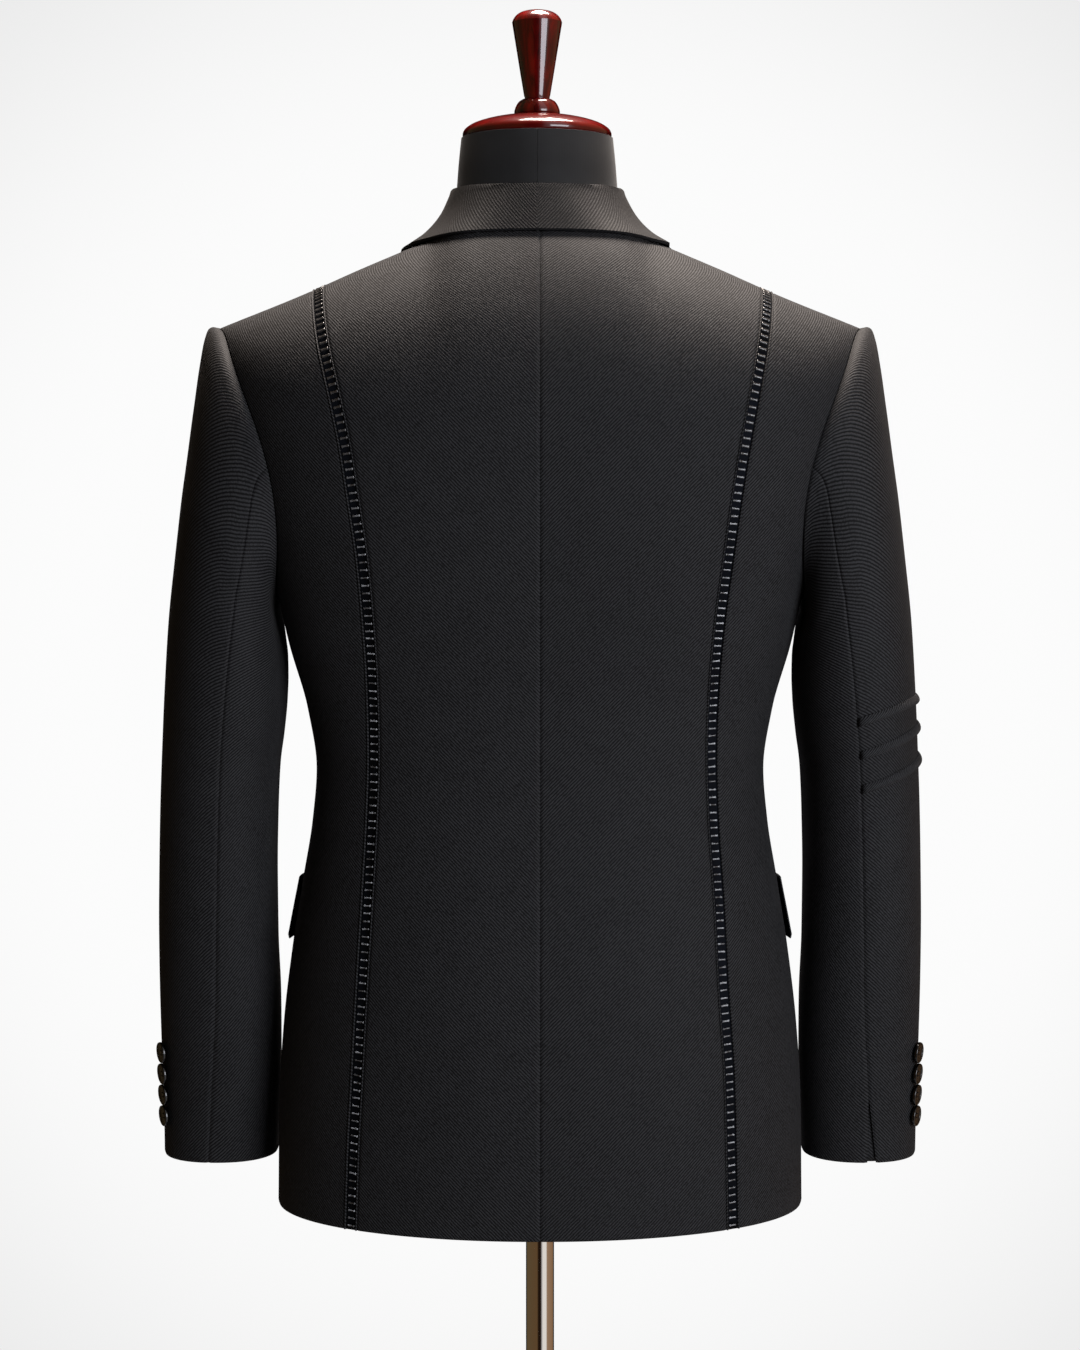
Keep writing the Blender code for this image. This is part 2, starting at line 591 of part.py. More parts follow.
def build_back(side, word, cloth):
    gap = SEAM_GAP / 2
    half = TRIM_WIDTH / 2
    panel("back_" + word,
          lambda up: list(np.linspace(share_at(gap, up, True),
                                      trim_share(up, side, -half - gap), 7)),
          levels(NECK_UP, trim_end(side, -half - gap)), cloth, side)

    def side_shares(up):
        edge = SIDE_SEAM + gap / QUARTER
        if up > ARMPIT_UP:
            edge = max(armhole_at(up, True) + ARMHOLE_GAP / QUARTER, RIDGE_SHARE)
        if up < ARMHOLE_MID:
            edge = max(edge, SIDE_SEAM + gap / QUARTER)
        first = trim_share(up, side, half + gap)
        return spread(first, side_line(up, ARMHOLE_BACK), 5, min(edge, first - RIDGE_SHARE))

    panel("side_back_" + word, side_shares, levels(trim_end(side, half + gap)), cloth, side)


def build_trim(side, word, satin):
    half = TRIM_WIDTH / 2 - SEAM_GAP / 2
    panel("trim_" + word,
          lambda up: [trim_share(up, side, -half), trim_share(up, side, half)],
          levels(trim_end(side, -half), trim_end(side, half)), satin, side,
          TRIM_CLOTH, TRIM_SUNK)


def front_edge_share(up):
    return front_share(read(FRONT_EDGE, "up", "x", up), up)


def underlap(side):
    """How far the right front sinks so that it passes under the left one."""
    if side > 0:
        return lambda point: 0.0
    return lambda point: UNDERLAP_DROP * ease((UNDERLAP_FROM - point.x) / UNDERLAP_EASE)


def build_front(side, word, cloth):
    def shares(up):
        edge = SIDE_SEAM - SEAM_GAP / 2 / QUARTER
        if up > ARMPIT_UP:
            edge = min(armhole_at(up, False) - ARMHOLE_GAP / QUARTER, -RIDGE_SHARE)
        last = min(front_edge_share(up), -FRONT_TOP_SHARE)
        return spread(last, side_line(up, -ARMHOLE_FRONT), 9, edge)

    panel("front_" + word, shares, ROWS[:-1] + (FRONT_NECK_UP,), cloth, side, CLOTH,
          underlap(side))


# ---------------------------------------------------------------- sleeves
def build_sleeve(side, word, cloth):
    seam = math.degrees(SEAM_GAP / 2 / SLEEVE_RADIUS)
    rows = [0.06, 0.5, 1.0, 1.6, 2.3, 3.2, 4.2, 5.2, 6.2, 7.2, 8.2, 9.2, 10.2, 11.2, 12.4,
            13.6, 14.7, 15.6, 16.2, SLEEVE_LAST]

    def slit(row):
        """Degrees by which the cuff slit's two edges stand apart on each side."""
        part = max(row - CUFF_SLIT_ROW, 0.0) / (SLEEVE_LAST - CUFF_SLIT_ROW)
        return math.degrees(CUFF_SLIT[side] / CUFF_RADIUS) * part

    def place_between(first, last):
        def place(row, col):
            angle = first(row) + (last(row) - first(row)) * col
            return sleeve_point(angle, row), sleeve_normal(angle, row)
        return place

    top = place_between(lambda row: FRONT_SEAM_ANGLE - 360 + seam,
                        lambda row: elbow_angle(row) - seam - slit(row))
    under = place_between(lambda row: elbow_angle(row) + seam + slit(row),
                          lambda row: FRONT_SEAM_ANGLE - seam)
    wall("top_sleeve_" + word, top, rows, np.linspace(0, 1, TOP_COLUMNS + 1), CLOTH, cloth, side)
    wall("under_sleeve_" + word, under, rows, np.linspace(0, 1, 9), CLOTH, cloth, side)


def build_welts(cloth):
    """Three sewn tucks across the right top sleeve, low half rounds on the cloth."""
    for number, (at_elbow, at_outer, at_front) in enumerate(WELTS[1:], 1):
        outer, inner = [], []
        for part in np.linspace(0.0, 1.0, TOP_COLUMNS + 1):
            first = elbow_angle(at_elbow) - WELT_SHORT
            front = FRONT_SEAM_ANGLE - 360
            angle = first + (front + WELT_SHORT - first) * part
            far_row, far_angle = (at_elbow, first) if angle >= 0 else (at_front, front)
            row = at_outer + (far_row - at_outer) * (angle / far_angle) ** WELT_SWEEP
            middle, normal = sleeve_point(angle, row), sleeve_normal(angle, row)
            down = (sleeve_point(angle, row + 0.1) - middle).normalized()
            down = (down - normal * down.dot(normal)).normalized()
            outer.append([middle + normal * (LAY_GAP + rise * WELT_RISE) + down * WELT_WIDTH * off
                          for off, rise in WELT_ROUND])
            inner.append([middle + normal * LAY_GAP + down * WELT_WIDTH * off
                          for off, _ in WELT_ROUND])
        shell("sleeve_welt_%d" % number, outer, inner, cloth, -1)


# ---------------------------------------------------------------- collar and lapels
UPRIGHT = Vector((0.0, 0.0, 1.0))


def collar_section(row, side):
    """Closed outline of the collar at one place: stand, roll and fall."""
    turn = math.radians(row["turn"])
    out = Vector((math.sin(turn), math.cos(turn), 0.0))
    if row["turn"] > 90:
        seam_s = front_edge_share(row["seam_up"]) - COLLAR_SEAM_IN
    else:
        seam_s = read(COLLAR_SEAM, "turn", "s", row["turn"])
    seam = body_point(seam_s, row["seam_up"])
    away = Vector((seam.x, seam.y, 0.0)).normalized()
    none, full = COLLAR_X_TURNS
    lean = side * COLLAR_X * ease((none - row["turn"]) / (none - full))
    roll = out * row["roll_r"] + Vector((lean, 0, row["roll_up"]))
    edge_x = row["edge_x"] + lean
    if row["turn"] > 90:
        edge_s = -share_at(edge_x, row["edge_up"], False)
    else:
        edge_s = share_at(edge_x, row["edge_up"], True)
    edge_normal = body_normal(edge_s, row["edge_up"])
    edge = body_point(edge_s, row["edge_up"]) + edge_normal * (COLLAR_CLOTH + COLLAR_GAP)

    shoulder = roll + out * (2 * COLLAR_ROLL) - UPRIGHT * FALL_DOWN
    down = (edge - shoulder).normalized()
    across = (edge_normal - down * edge_normal.dot(down)).normalized()
    fall = [shoulder.lerp(edge, t) + across * row["bulge"] * 4 * t * (1 - t)
            for t in FALL_PARTS]
    fall_inner = [point - across * COLLAR_CLOTH for point in fall]
    fall_inner[-1] = edge - edge_normal * COLLAR_CLOTH
    stand_in = seam - away * COLLAR_CLOTH
    inside_top = roll - UPRIGHT * STAND_DOWN
    tuck = out * max(-row["bulge"] * TUCK_SHARE, 0.0)
    hollow = roll + out * COLLAR_CLOTH - UPRIGHT * HOLLOW_DOWN
    return ([stand_in, stand_in.lerp(inside_top, 0.5) - tuck, inside_top,
             roll + out * COLLAR_ROLL * 0.7 - UPRIGHT * ROLL_DOWN[0],
             roll + out * COLLAR_ROLL * 1.5 - UPRIGHT * ROLL_DOWN[1]] + fall
            + [fall_inner[3], fall_inner[2], fall_inner[1], hollow + out * HOLLOW_OUT,
               seam.lerp(hollow, 0.5) - tuck, seam])


def build_collar(cloth):
    half = [dict((name, read(COLLAR, "turn", name, turn)) for name in COLLAR[0])
            for turn in COLLAR_TURNS]
    sections = []
    for side, rows in ((-1, half[:0:-1]), (1, half)):
        for row in rows:
            section = [Vector((p.x * side, p.y, p.z)) for p in collar_section(row, side)]
            sections.append(section)
    data = bmesh.new()
    rings = [[data.verts.new(raised(point)) for point in section] for section in sections]
    count = len(rings[0])
    for a, b in zip(rings, rings[1:]):
        for j in range(count):
            k = (j + 1) % count
            data.faces.new((a[j], a[k], b[k], b[j]))
    for ring in (rings[0], rings[-1]):
        data.faces.new(ring)
    bmesh.ops.triangulate(data, faces=[f for f in data.faces if len(f.verts) > 4])
    finish("collar", data, cloth)


def build_lapel(side, word, satin):
    sink = underlap(side)
    rows = [LAPEL_START[side], LAPEL_SECOND_UP]
    rows += list(np.linspace(LAPEL_THIRD_UP, LAPEL_TOP_UP, 15))

    def place(roll_up, col):
        edge_x = read(LAPEL, "roll_up", "edge_x", roll_up)
        edge_up = read(LAPEL, "roll_up", "edge_up", roll_up)
        dip = read(LAPEL, "roll_up", "dip", roll_up) * (1.0 - abs(2.0 * col - 1.0))
        roll_x = read(FRONT_EDGE, "up", "x", roll_up) + LAPEL_EDGE_IN
        if side < 0:
            roll_x = max(roll_x, LAPEL_RIGHT_IN - roll_x)
        x = roll_x + (edge_x - roll_x) * col
        up = roll_up + (edge_up - roll_up) * col - dip
        s = front_share(x, up)
        point, normal = body_point(s, up), body_normal(s, up)
        lift = LAPEL_CLOTH + LIE_GAP + LAPEL_CROWN * math.sin(math.pi * col)
        return point + normal * (lift - sink(point)), normal

    wall("lapel_" + word, place, rows, np.linspace(0, 1, 7), LAPEL_CLOTH, satin, side)


def build_flap(side, word, cloth):
    def place(up, col):
        s = FLAP_FROM + (FLAP_TO - FLAP_FROM) * col
        hang = (FLAP_TOP_UP - up) / (FLAP_TOP_UP - FLAP_BOTTOM_UP)
        point, normal = body_point(s, up), body_normal(s, up)
        return point + normal * (FLAP_CLOTH + LIE_GAP + FLAP_FLARE * hang), normal

    wall("flap_" + word, place, (FLAP_BOTTOM_UP, FLAP_MIDDLE_UP, FLAP_TOP_UP),
         np.linspace(0, 1, 10), FLAP_CLOTH, cloth, side)


# ---------------------------------------------------------------- buttons
def button(name, point, normal, radius, finish_material, gap, side=1):
    """A turned button with a raised rim, its narrower foot towards the cloth."""
    normal = Vector((normal.x * side, normal.y, normal.z))
    place = Vector((point.x * side, point.y, point.z)) + normal * gap
    frame = Matrix.Translation(place) @ normal.to_track_quat("Z", "Y").to_matrix().to_4x4()
    profile = [(r * radius, h * BUTTON_THICK) for r, h in BUTTON_PROFILE]
    turned(name, profile, finish_material, 16, frame)


def sleeve_row_at(up):
    """Row of the sleeve whose outer edge is at a level."""
    ups = column(SLEEVE, "outer_up")[::-1]
    return smooth(ups, np.arange(SLEEVE_LAST + 1.0)[::-1], up)


def build_buttons(horn):
    for side, word in ((1, "left"), (-1, "right")):
        for number, up in enumerate(BUTTON_UPS, 1):
            row = sleeve_row_at(up)
            button("sleeve_button_%s_%d" % (word, number), sleeve_point(BUTTON_ANGLE, row),
                   sleeve_normal(BUTTON_ANGLE, row), BUTTON_RADIUS, horn, SLEEVE_BUTTON_GAP,
                   side)
    button("front_button", body_point(-1.0, FRONT_BUTTON_UP),
           body_normal(FRONT_BUTTON_SHARE, FRONT_BUTTON_UP), FRONT_BUTTON_RADIUS, horn, LAY_GAP)


# ---------------------------------------------------------------- dress form and stand
def form_rings():
    """Rings of points round the form, from its foot to the top of its neck."""
    shares = [k / FORM_RING for k in range(FORM_RING, -FORM_RING - 1, -1)]
    rings = []
    for row in FORM[1:]:
        size = dict(zip(FORM[0], row))
        rings.append([on_outline(lambda behind: with_share(*size_curve(size, behind)), s,
                                 size["up"]) for s in shares])
    for up in FORM_SHOULDER_UPS:
        ring = [body_point(s, up) - body_normal(s, up)
                * (CLOTH + FORM_UNDER + FORM_SINK * ease(abs(s) / FORM_SINK_SHARE))
                for s in shares]
        for point in ring:
            flare = read(NECK, "up", "radius", up) / math.hypot(point.x, point.y)
            point.xy *= max(flare, 1.0)
        rings.append(ring)
    turns = [math.pi * k / (2 * FORM_RING) for k in range(2 * FORM_RING + 1)]
    for up, radius in NECK[1:]:
        if up > FORM_SHOULDER_UPS[-1]:
            rings.append([Vector((radius * math.sin(t), radius * math.cos(t), up))
                          for t in turns])
    whole = [half + [Vector((-p.x, p.y, p.z)) for p in half[-2:0:-1]] for half in rings]
    for ring in whole:
        for point in ring:
            point.x += NECK_X * ease((point.z - NECK_UP) / (NECK_TOP_UP - NECK_UP) * 2)
    return whole


def build_form(cloth):
    data = bmesh.new()
    rings = [[data.verts.new(raised(point)) for point in ring] for ring in form_rings()]
    for a, b in zip(rings, rings[1:]):
        for j in range(len(a)):
            k = (j + 1) % len(a)
            data.faces.new((a[j], a[k], b[k], b[j]))
    data.faces.new(rings[0])
    data.faces.new(rings[-1])
    finish("form_body", data, cloth)


def build_stand(wood, chrome, paint):
    leaning = Matrix.Translation((NECK_X, 0, 0))
    turned("neck_cap", CAP_PROFILE, wood, 32, leaning)
    turned("cap_bead", BEAD_PROFILE, wood, 24, leaning)
    turned("cap_handle", HANDLE_PROFILE, wood, 24, leaning)
    foot = BASE_PROFILE[-1][1] + SEAM_GAP
    head = HEM_Z + FORM_FOOT_UP - SEAM_GAP
    turned("pole", ((0.0, foot), (POLE_RADIUS, foot), (POLE_RADIUS, head), (0.0, head)),
           chrome, 24, from_hem=False)
    turned("base", BASE_PROFILE, paint, 40, from_hem=False)


def main():
    clear_scene()
    twill = material("wool twill, near black", (0.010, 0.0098, 0.0100), 0.78)
    satin = material("silk satin, black", (0.006, 0.006, 0.007), 0.32)
    welt = material("wool twill, welts", (0.012, 0.0115, 0.0118), 0.75)
    horn = material("polished horn, black", (0.006, 0.006, 0.006), 0.12, 0.0, 0.5)
    jersey = material("form cover, black cotton", (0.004, 0.004, 0.004), 0.95)
    wood = material("cherry lacquered wood", (0.085, 0.010, 0.012), 0.18, 0.0, 1.0)
    chrome = material("chrome", (0.75, 0.74, 0.73), 0.06, 1.0)
    paint = material("black painted metal", (0.012, 0.012, 0.012), 0.35)
    for side, word in ((1, "left"), (-1, "right")):
        build_back(side, word, twill)
        build_trim(side, word, satin)
        build_front(side, word, twill)
        build_sleeve(side, word, twill)
        build_lapel(side, word, satin)
        build_flap(side, word, twill)
    build_welts(welt)
    build_collar(twill)
    build_buttons(horn)
    build_form(jersey)
    build_stand(wood, chrome, paint)


main()
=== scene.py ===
"""Evening jacket on a dress form: finished cloth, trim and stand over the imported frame.

Metres, +Z up, floor at z = 0, the jacket's front faces -Y, the wearer's left is +X.
Heights named "up" are measured from the hem.  Every cloth piece is a fine grid laid on
the same surfaces as the solids, with its own flat UV map in metres for the weave.
"""

import math
from functools import lru_cache

import bmesh
import bpy
import numpy as np
from mathutils import Matrix, Vector, noise


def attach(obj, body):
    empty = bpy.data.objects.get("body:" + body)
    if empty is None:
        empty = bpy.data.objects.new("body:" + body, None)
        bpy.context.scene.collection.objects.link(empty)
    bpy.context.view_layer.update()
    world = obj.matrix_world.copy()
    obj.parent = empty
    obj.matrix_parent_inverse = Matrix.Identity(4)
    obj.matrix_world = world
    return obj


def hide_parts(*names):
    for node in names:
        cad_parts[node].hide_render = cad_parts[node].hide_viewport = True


bl_info = {
    "name": "Evening Jacket on a Dress Form",
    "version": (1, 0, 0),
    "blender": (4, 5, 0),
    "location": "View3D > Sidebar > Tailor",
    "description": "Cloth panels, ladder trim, buttons, dress form and studio",
    "category": "Object",
}

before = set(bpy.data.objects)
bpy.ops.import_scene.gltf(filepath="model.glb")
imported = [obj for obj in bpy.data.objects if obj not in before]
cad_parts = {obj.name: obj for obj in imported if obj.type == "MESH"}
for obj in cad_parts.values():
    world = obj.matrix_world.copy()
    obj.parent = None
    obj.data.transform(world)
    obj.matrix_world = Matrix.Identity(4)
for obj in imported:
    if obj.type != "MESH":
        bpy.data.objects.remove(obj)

# ---------------------------------------------------------------- dimensions of the cut
HEM_Z = 0.680              # hem above the floor
TIP_UP = 0.6756            # shoulder point
SHOULDER_X = 0.2454
ARMPIT_UP = 0.470
NECK_UP = 0.743            # neck seam at the centre back
SEAM_GAP = 0.0003          # between solids that meet
LAY_GAP = 0.0005           # under a piece that lies on another
LIE_GAP = 0.0011           # under a wide one
CLOTH = 0.0020             # thickness of the jacket's wall, lined
COLLAR_CLOTH = 0.0021
LAPEL_CLOTH = 0.0020
FLAP_CLOTH = 0.0024
TRIM_CLOTH = 0.0012
WELT_CLOTH = 0.0008
VENT_CLOTH = 0.0012

# Shares of a quarter of the body's outline, from 0 at the side to 1 at the centre.
QUARTER = 0.27             # length of such a quarter at the chest
RIDGE_SHARE = 0.0005       # this close to the side counts as the shoulder's ridge
SIDE_SEAM = 0.05
ARMHOLE_BACK = 0.265
ARMHOLE_SKEW = 0.025
ARMHOLE_FRONT = 0.30
ARMHOLE_LAP = 0.0022       # the panels run this far under the sleeve head, in metres
ARMPIT_BAND = 0.016        # over this height above the armpit the rows lie closer
CORNER_REACH = 0.0020      # and this far to both sides of a sharp corner
CORNER_BELOW = 0.0008      # whose middle is this far below the trim's inner end
TIP_BELOW = 0.0010         # or below the shoulder point

UNDERLAP_DROP = 0.0027     # the right front sinks this far under the left one
UNDERLAP_FROM = 0.070
UNDERLAP_EASE = 0.030

TRIM_WIDTH = 0.0092        # satin band of the ladder trim
TRIM_SUNK = 0.0007         # it lies this far under the cloth's face
TRIM_HOLLOW = 0.0004       # and this much deeper along its middle
TRIM_TURN = 0.650          # above this level each line of the trim runs to its own end
TRIM_STEP = 0.0006         # between levels above it
RUNG_PITCH = 0.00575       # ladder bars, from middle to middle
RUNG_RADIUS = 0.00072
RUNG_SINK = 0.0002
BAR_SEED = 5               # of the bars' small unevenness
BAR_HALF = 0.0031          # half the length of a bar
BAR_IN = 0.0003            # the bars lie this far towards the centre back
BAR_SLIP = 0.0004          # at most this far out of place along the band
BAR_TILT = 0.10            # and this much askew
BAR_FLAT = (0.9, 0.75)     # width and height of a bar's section over its round one
BAR_SWELL = 0.45           # the bars on the shoulder are this share thicker
BAR_HALF_PROFILE = ((0.85, 0.0), (0.92, 0.55), (1.30, 0.78), (1.0, 0.94), (0.0, 1.0))
PAINTED_SHINE_FADES = (0.46, 0.64)  # the bars' painted highlight turns from pale to a dark painted tone between these heights
OUTER_RAIL = ("outer", TRIM_WIDTH / 2 - 0.0002, 0.0014, 0.0010)   # name, place, width, rise
INNER_RAIL = ("inner", -TRIM_WIDTH / 2 + 0.0004, 0.0011, 0.0007)
RAIL_TAPER = 0.005         # the piping's end runs out over this length
RAIL_SUNK = 0.0003         # its edges lie this far in the cloth
RAIL_DIVES = 0.0005        # and its end this much deeper

COLLAR_GAP = 0.0018        # under the collar's edge
COLLAR_ROLL = 0.0025       # radius of its fold
COLLAR_FALL = 0.0048       # the fall begins this far below the fold
COLLAR_STAND = 0.0040      # and the stand ends this far below it
COLLAR_CROWN = (0.0006, 0.0010)
COLLAR_FOLD = (0.0009, 0.0062)   # inside of the fold: behind the stand, below the fold
COLLAR_SEAM_IN = 0.006
COLLAR_X = 0.0020          # the collar sits this far to the wearer's left
COLLAR_X_TURNS = (119.0, 90.0)
COLLAR_TURNS = ((0.0, 97.5, 2.2), (99.0, 133.4, 1.2))  # from, to and between sections

LAPEL_START = {1: 0.372, -1: 0.384}
LAPEL_TOP_UP = 0.697
LAPEL_SWELL = 0.0016       # it stands off the front this far in its middle
LAPEL_ROLL = 0.0016        # and at its fold, where it is full
LAPEL_ROLL_WIDTH = 0.012
LAPEL_FULL_WIDTH = 0.03
LAPEL_LEAST = 0.004        # taken as its width at the point
LAPEL_OFF_EDGE = 0.0004
LAPEL_CENTRE = 0.0012

FLAP_WIDTH = 0.155
FLAP_FLARE = 0.0015
FLAP_TOP_UP = 0.253
FLAP_BOTTOM_UP = 0.203
FLAP_FROM = 0.02
FLAP_TO = -0.58
FLAP_CORNER = (0.014, 0.012)   # width and height over which its corners are rounded
FLAP_CORNER_RISE = 0.0035

WELT_SPREAD = 0.0070       # width of a tuck across the sleeve
WELT_RISE = 0.0030
WELT_LEAN = 1.5            # its crest leans downwards
WELT_ENDS = 0.02           # share of its length over which it runs out
WELT_ARC = 1.5             # length round the tuck over its width
CUFF_SLIT = {1: 0.0, -1: 0.0031}   # half opening of the cuff slit at its foot
CUFF_SLIT_ROW = 15.6
CUFF_RADIUS = 0.045
VENT_ROW = 15.0            # underlap of the cuff's vent
VENT_ANGLE = 9.0
VENT_DEPTH = 0.0029

BUTTON_RADIUS = 0.0082
BUTTON_THICK = 0.0044
BUTTON_UPS = (0.0650, 0.0822, 0.0994, 0.1166)
BUTTON_ANGLE = 29.0
BUTTON_SEAT = 0.0001
BUTTON_HOLE_OFF = 0.19     # of the radius, off the middle both ways
BUTTON_HOLE = (0.10, 0.085)    # of the radius, at its foot and mouth
BUTTON_HOLE_DEEP = 0.00012
THREAD_RADIUS = 0.00035
THREAD_RISE = 0.00022      # its middle above the dish
THREAD_LONG = 0.42         # of the radius
FRONT_BUTTON_RADIUS = 0.0100
FRONT_BUTTON_UP = 0.352
FRONT_BUTTON_SHARE = -0.97  # the cloth under it is square to the body here
FRONT_BUTTON_LIFT = 0.0007

POLE_RADIUS = 0.0110
BASE_RADIUS = 0.190
FORM_FOOT_UP = 0.045
FORM_CHEST_UP = 0.670      # the form's own outlines end here
FORM_NECK_UP = 0.6870      # and from here it follows the inside of the jacket
NECK_TOP_UP = 0.8193
NECK_X = 0.0022            # the form's neck stands this far to the wearer's left
NECK_EDGE = 0.0012         # rounding of the cover round the neck's top
NECK_EDGE_RISE = 0.0003
FORM_UNDER = 0.0015        # room between jacket and form at the neck's side
FORM_SINK = 0.0060         # and this much more at its back and front
FORM_SEAM = 0.0006         # depth of the cover's two seams
SLEEVE_SQUARE = 2.2
FRONT_SEAM_ANGLE = 250.0

LEVEL = ("up", "half", "back", "front", "square_back", "square_front")
TORSO = (
    (0.000, 0.2042, 0.1220, 0.1240, 2.08, 2.15),
    (0.086, 0.2025, 0.1240, 0.1220, 2.10, 2.15),
    (0.141, 0.1990, 0.1235, 0.1200, 2.15, 2.15),
    (0.202, 0.1918, 0.1180, 0.1160, 2.20, 2.20),
    (0.253, 0.1835, 0.1085, 0.1130, 2.25, 2.25),
    (0.300, 0.1755, 0.0990, 0.1115, 2.35, 2.30),
    (0.340, 0.1722, 0.0940, 0.1115, 2.35, 2.30),
    (0.385, 0.1785, 0.0940, 0.1150, 2.40, 2.30),
    (0.435, 0.1925, 0.1000, 0.1190, 2.50, 2.35),
    (0.470, 0.2005, 0.1060, 0.1205, 2.55, 2.40),
    (0.545, 0.2200, 0.1160, 0.1200, 2.60, 2.40),
    (0.590, 0.2310, 0.1185, 0.1200, 2.60, 2.40),
    (0.653, 0.2440, 0.1185, 0.1200, 2.60, 2.40),
    (TIP_UP, SHOULDER_X, 0.1185, 0.1200, 2.60, 2.40),
)
RIDGE = (("x", "up"),
         (0.0000, 0.7730), (0.0500, 0.7665), (0.0640, 0.7590), (0.0715, 0.7520),
         (0.0820, 0.7430), (0.1016, 0.7347), (0.1337, 0.7211), (0.1774, 0.7022),
         (SHOULDER_X, TIP_UP))
ARCH_BACK = (0.590, 2.3)
ARCH_FRONT = (0.545, 2.0)
TRIM = (("up", "left", "right"),
        (0.000, 0.1420, 0.1448), (0.065, 0.1392, 0.1429), (0.115, 0.1362, 0.1413),
        (0.182, 0.1325, 0.1368), (0.248, 0.1287, 0.1336), (0.307, 0.1256, 0.1298),
        (0.360, 0.1241, 0.1284), (0.411, 0.1247, 0.1299), (0.453, 0.1267, 0.1329),
        (0.500, 0.1303, 0.1384), (0.547, 0.1366, 0.1444), (0.583, 0.1420, 0.1499),
        (0.618, 0.1492, 0.1562), (0.663, 0.1598, 0.1648), (0.705, 0.1672, 0.1714))
FRONT_EDGE = (("up", "x"),
              (0.000, 0.105), (0.012, 0.072), (0.035, 0.044), (0.075, 0.018),
              (0.120, 0.001), (0.203, -0.014), (0.285, -0.019), (0.355, -0.018),
              (0.420, 0.012), (0.500, 0.038), (0.600, 0.061), (0.680, 0.074),
              (0.720, 0.078), (0.743, 0.082))
LAPEL = (("roll_up", "edge_x", "edge_up", "dip"),
         (0.372, 0.004, 0.374, 0.000), (0.412, 0.042, 0.416, 0.000),
         (0.455, 0.078, 0.461, 0.000), (0.500, 0.104, 0.513, 0.000),
         (0.545, 0.122, 0.566, 0.000), (0.590, 0.135, 0.618, 0.000),
         (0.632, 0.143, 0.662, 0.000), (0.672, 0.147, 0.692, 0.008),
         (LAPEL_TOP_UP, 0.148, 0.706, 0.018))
SLEEVE = (("outer_x", "outer_up", "inner_x", "inner_up", "mid_y", "half_y", "free"),
          (SHOULDER_X, TIP_UP, 0.2005, ARMPIT_UP, 0.000, 0.0720, 0.00),
          (0.2516, 0.6748, 0.2022, 0.4640, 0.000, 0.0725, 0.15),
          (0.2564, 0.6672, 0.2022, 0.4570, 0.000, 0.0730, 0.35),
          (0.2605, 0.6465, 0.2008, 0.4500, 0.000, 0.0735, 0.55),
          (0.2645, 0.6180, 0.1986, 0.4420, 0.000, 0.0738, 0.75),
          (0.2695, 0.5800, 0.1966, 0.4330, 0.000, 0.0740, 0.90),
          (0.2745, 0.5450, 0.1954, 0.4230, -0.001, 0.0738, 1.00),
          (0.2800, 0.5000, 0.1952, 0.4080, -0.001, 0.0728, 1.00),
          (0.2850, 0.4550, 0.1960, 0.3900, -0.002, 0.0708, 1.00),
          (0.2885, 0.4050, 0.1985, 0.3650, -0.003, 0.0675, 1.00),
          (0.2912, 0.3600, 0.2018, 0.3400, -0.005, 0.0640, 1.00),
          (0.2938, 0.3100, 0.2037, 0.3000, -0.007, 0.0605, 1.00),
          (0.2955, 0.2600, 0.2046, 0.2550, -0.009, 0.0575, 1.00),
          (0.2968, 0.2100, 0.2046, 0.2080, -0.012, 0.0545, 1.00),
          (0.2972, 0.1600, 0.2034, 0.1590, -0.016, 0.0515, 1.00),
          (0.2970, 0.1100, 0.2040, 0.1100, -0.021, 0.0485, 1.00),
          (0.2966, 0.0700, 0.2058, 0.0700, -0.026, 0.0460, 1.00),
          (0.2968, 0.0310, 0.2076, 0.0310, -0.030, 0.0440, 1.00))
SLEEVE_LAST = len(SLEEVE) - 2
ELBOW = (("row", "angle"),
         (0.0, 92.0), (1.4, 94.0), (2.7, 98.5), (4.3, 101.5), (6.0, 100.3), (7.7, 98.0),
         (9.0, 96.6), (10.5, 96.3), (12.3, 95.0), (13.8, 92.2), (15.4, 87.7), (17.0, 84.0))
WELTS = (("at_elbow", "at_outer", "at_front"),
         (9.11, 9.25, 9.50), (9.87, 9.72, 10.10), (10.50, 10.24, 10.70))
COLLAR = (("turn", "seam_up", "roll_r", "roll_up", "edge_x", "edge_up", "bulge"),
          (0.0, 0.7436, 0.0624, 0.7790, 0.0000, 0.7415, 0.0000),
          (18.0, 0.7436, 0.0624, 0.7792, 0.0280, 0.7412, 0.0000),
          (36.0, 0.7436, 0.0624, 0.7797, 0.0520, 0.7402, -0.0012),
          (54.0, 0.7436, 0.0624, 0.7802, 0.0710, 0.7390, -0.0028),
          (72.0, 0.7436, 0.0624, 0.7805, 0.0865, 0.7370, -0.0042),
          (90.0, 0.7436, 0.0626, 0.7795, 0.0996, 0.7353, -0.0046),
          (105.0, 0.7410, 0.0676, 0.7700, 0.1075, 0.7265, -0.0015),
          (119.0, 0.7330, 0.0815, 0.7530, 0.1125, 0.7165, 0.0020),
          (128.0, 0.7190, 0.0940, 0.7350, 0.1145, 0.7050, 0.0035),
          (131.5, 0.7085, 0.1000, 0.7190, 0.1148, 0.6950, 0.0040),
          (133.4, 0.6995, 0.1060, 0.7060, 0.1140, 0.6860, 0.0035))
COLLAR_SEAM = (("turn", "s"),
               (0.0, 1.00), (18.0, 0.80), (36.0, 0.59), (54.0, 0.40), (72.0, 0.20),
               (90.0, 0.00))
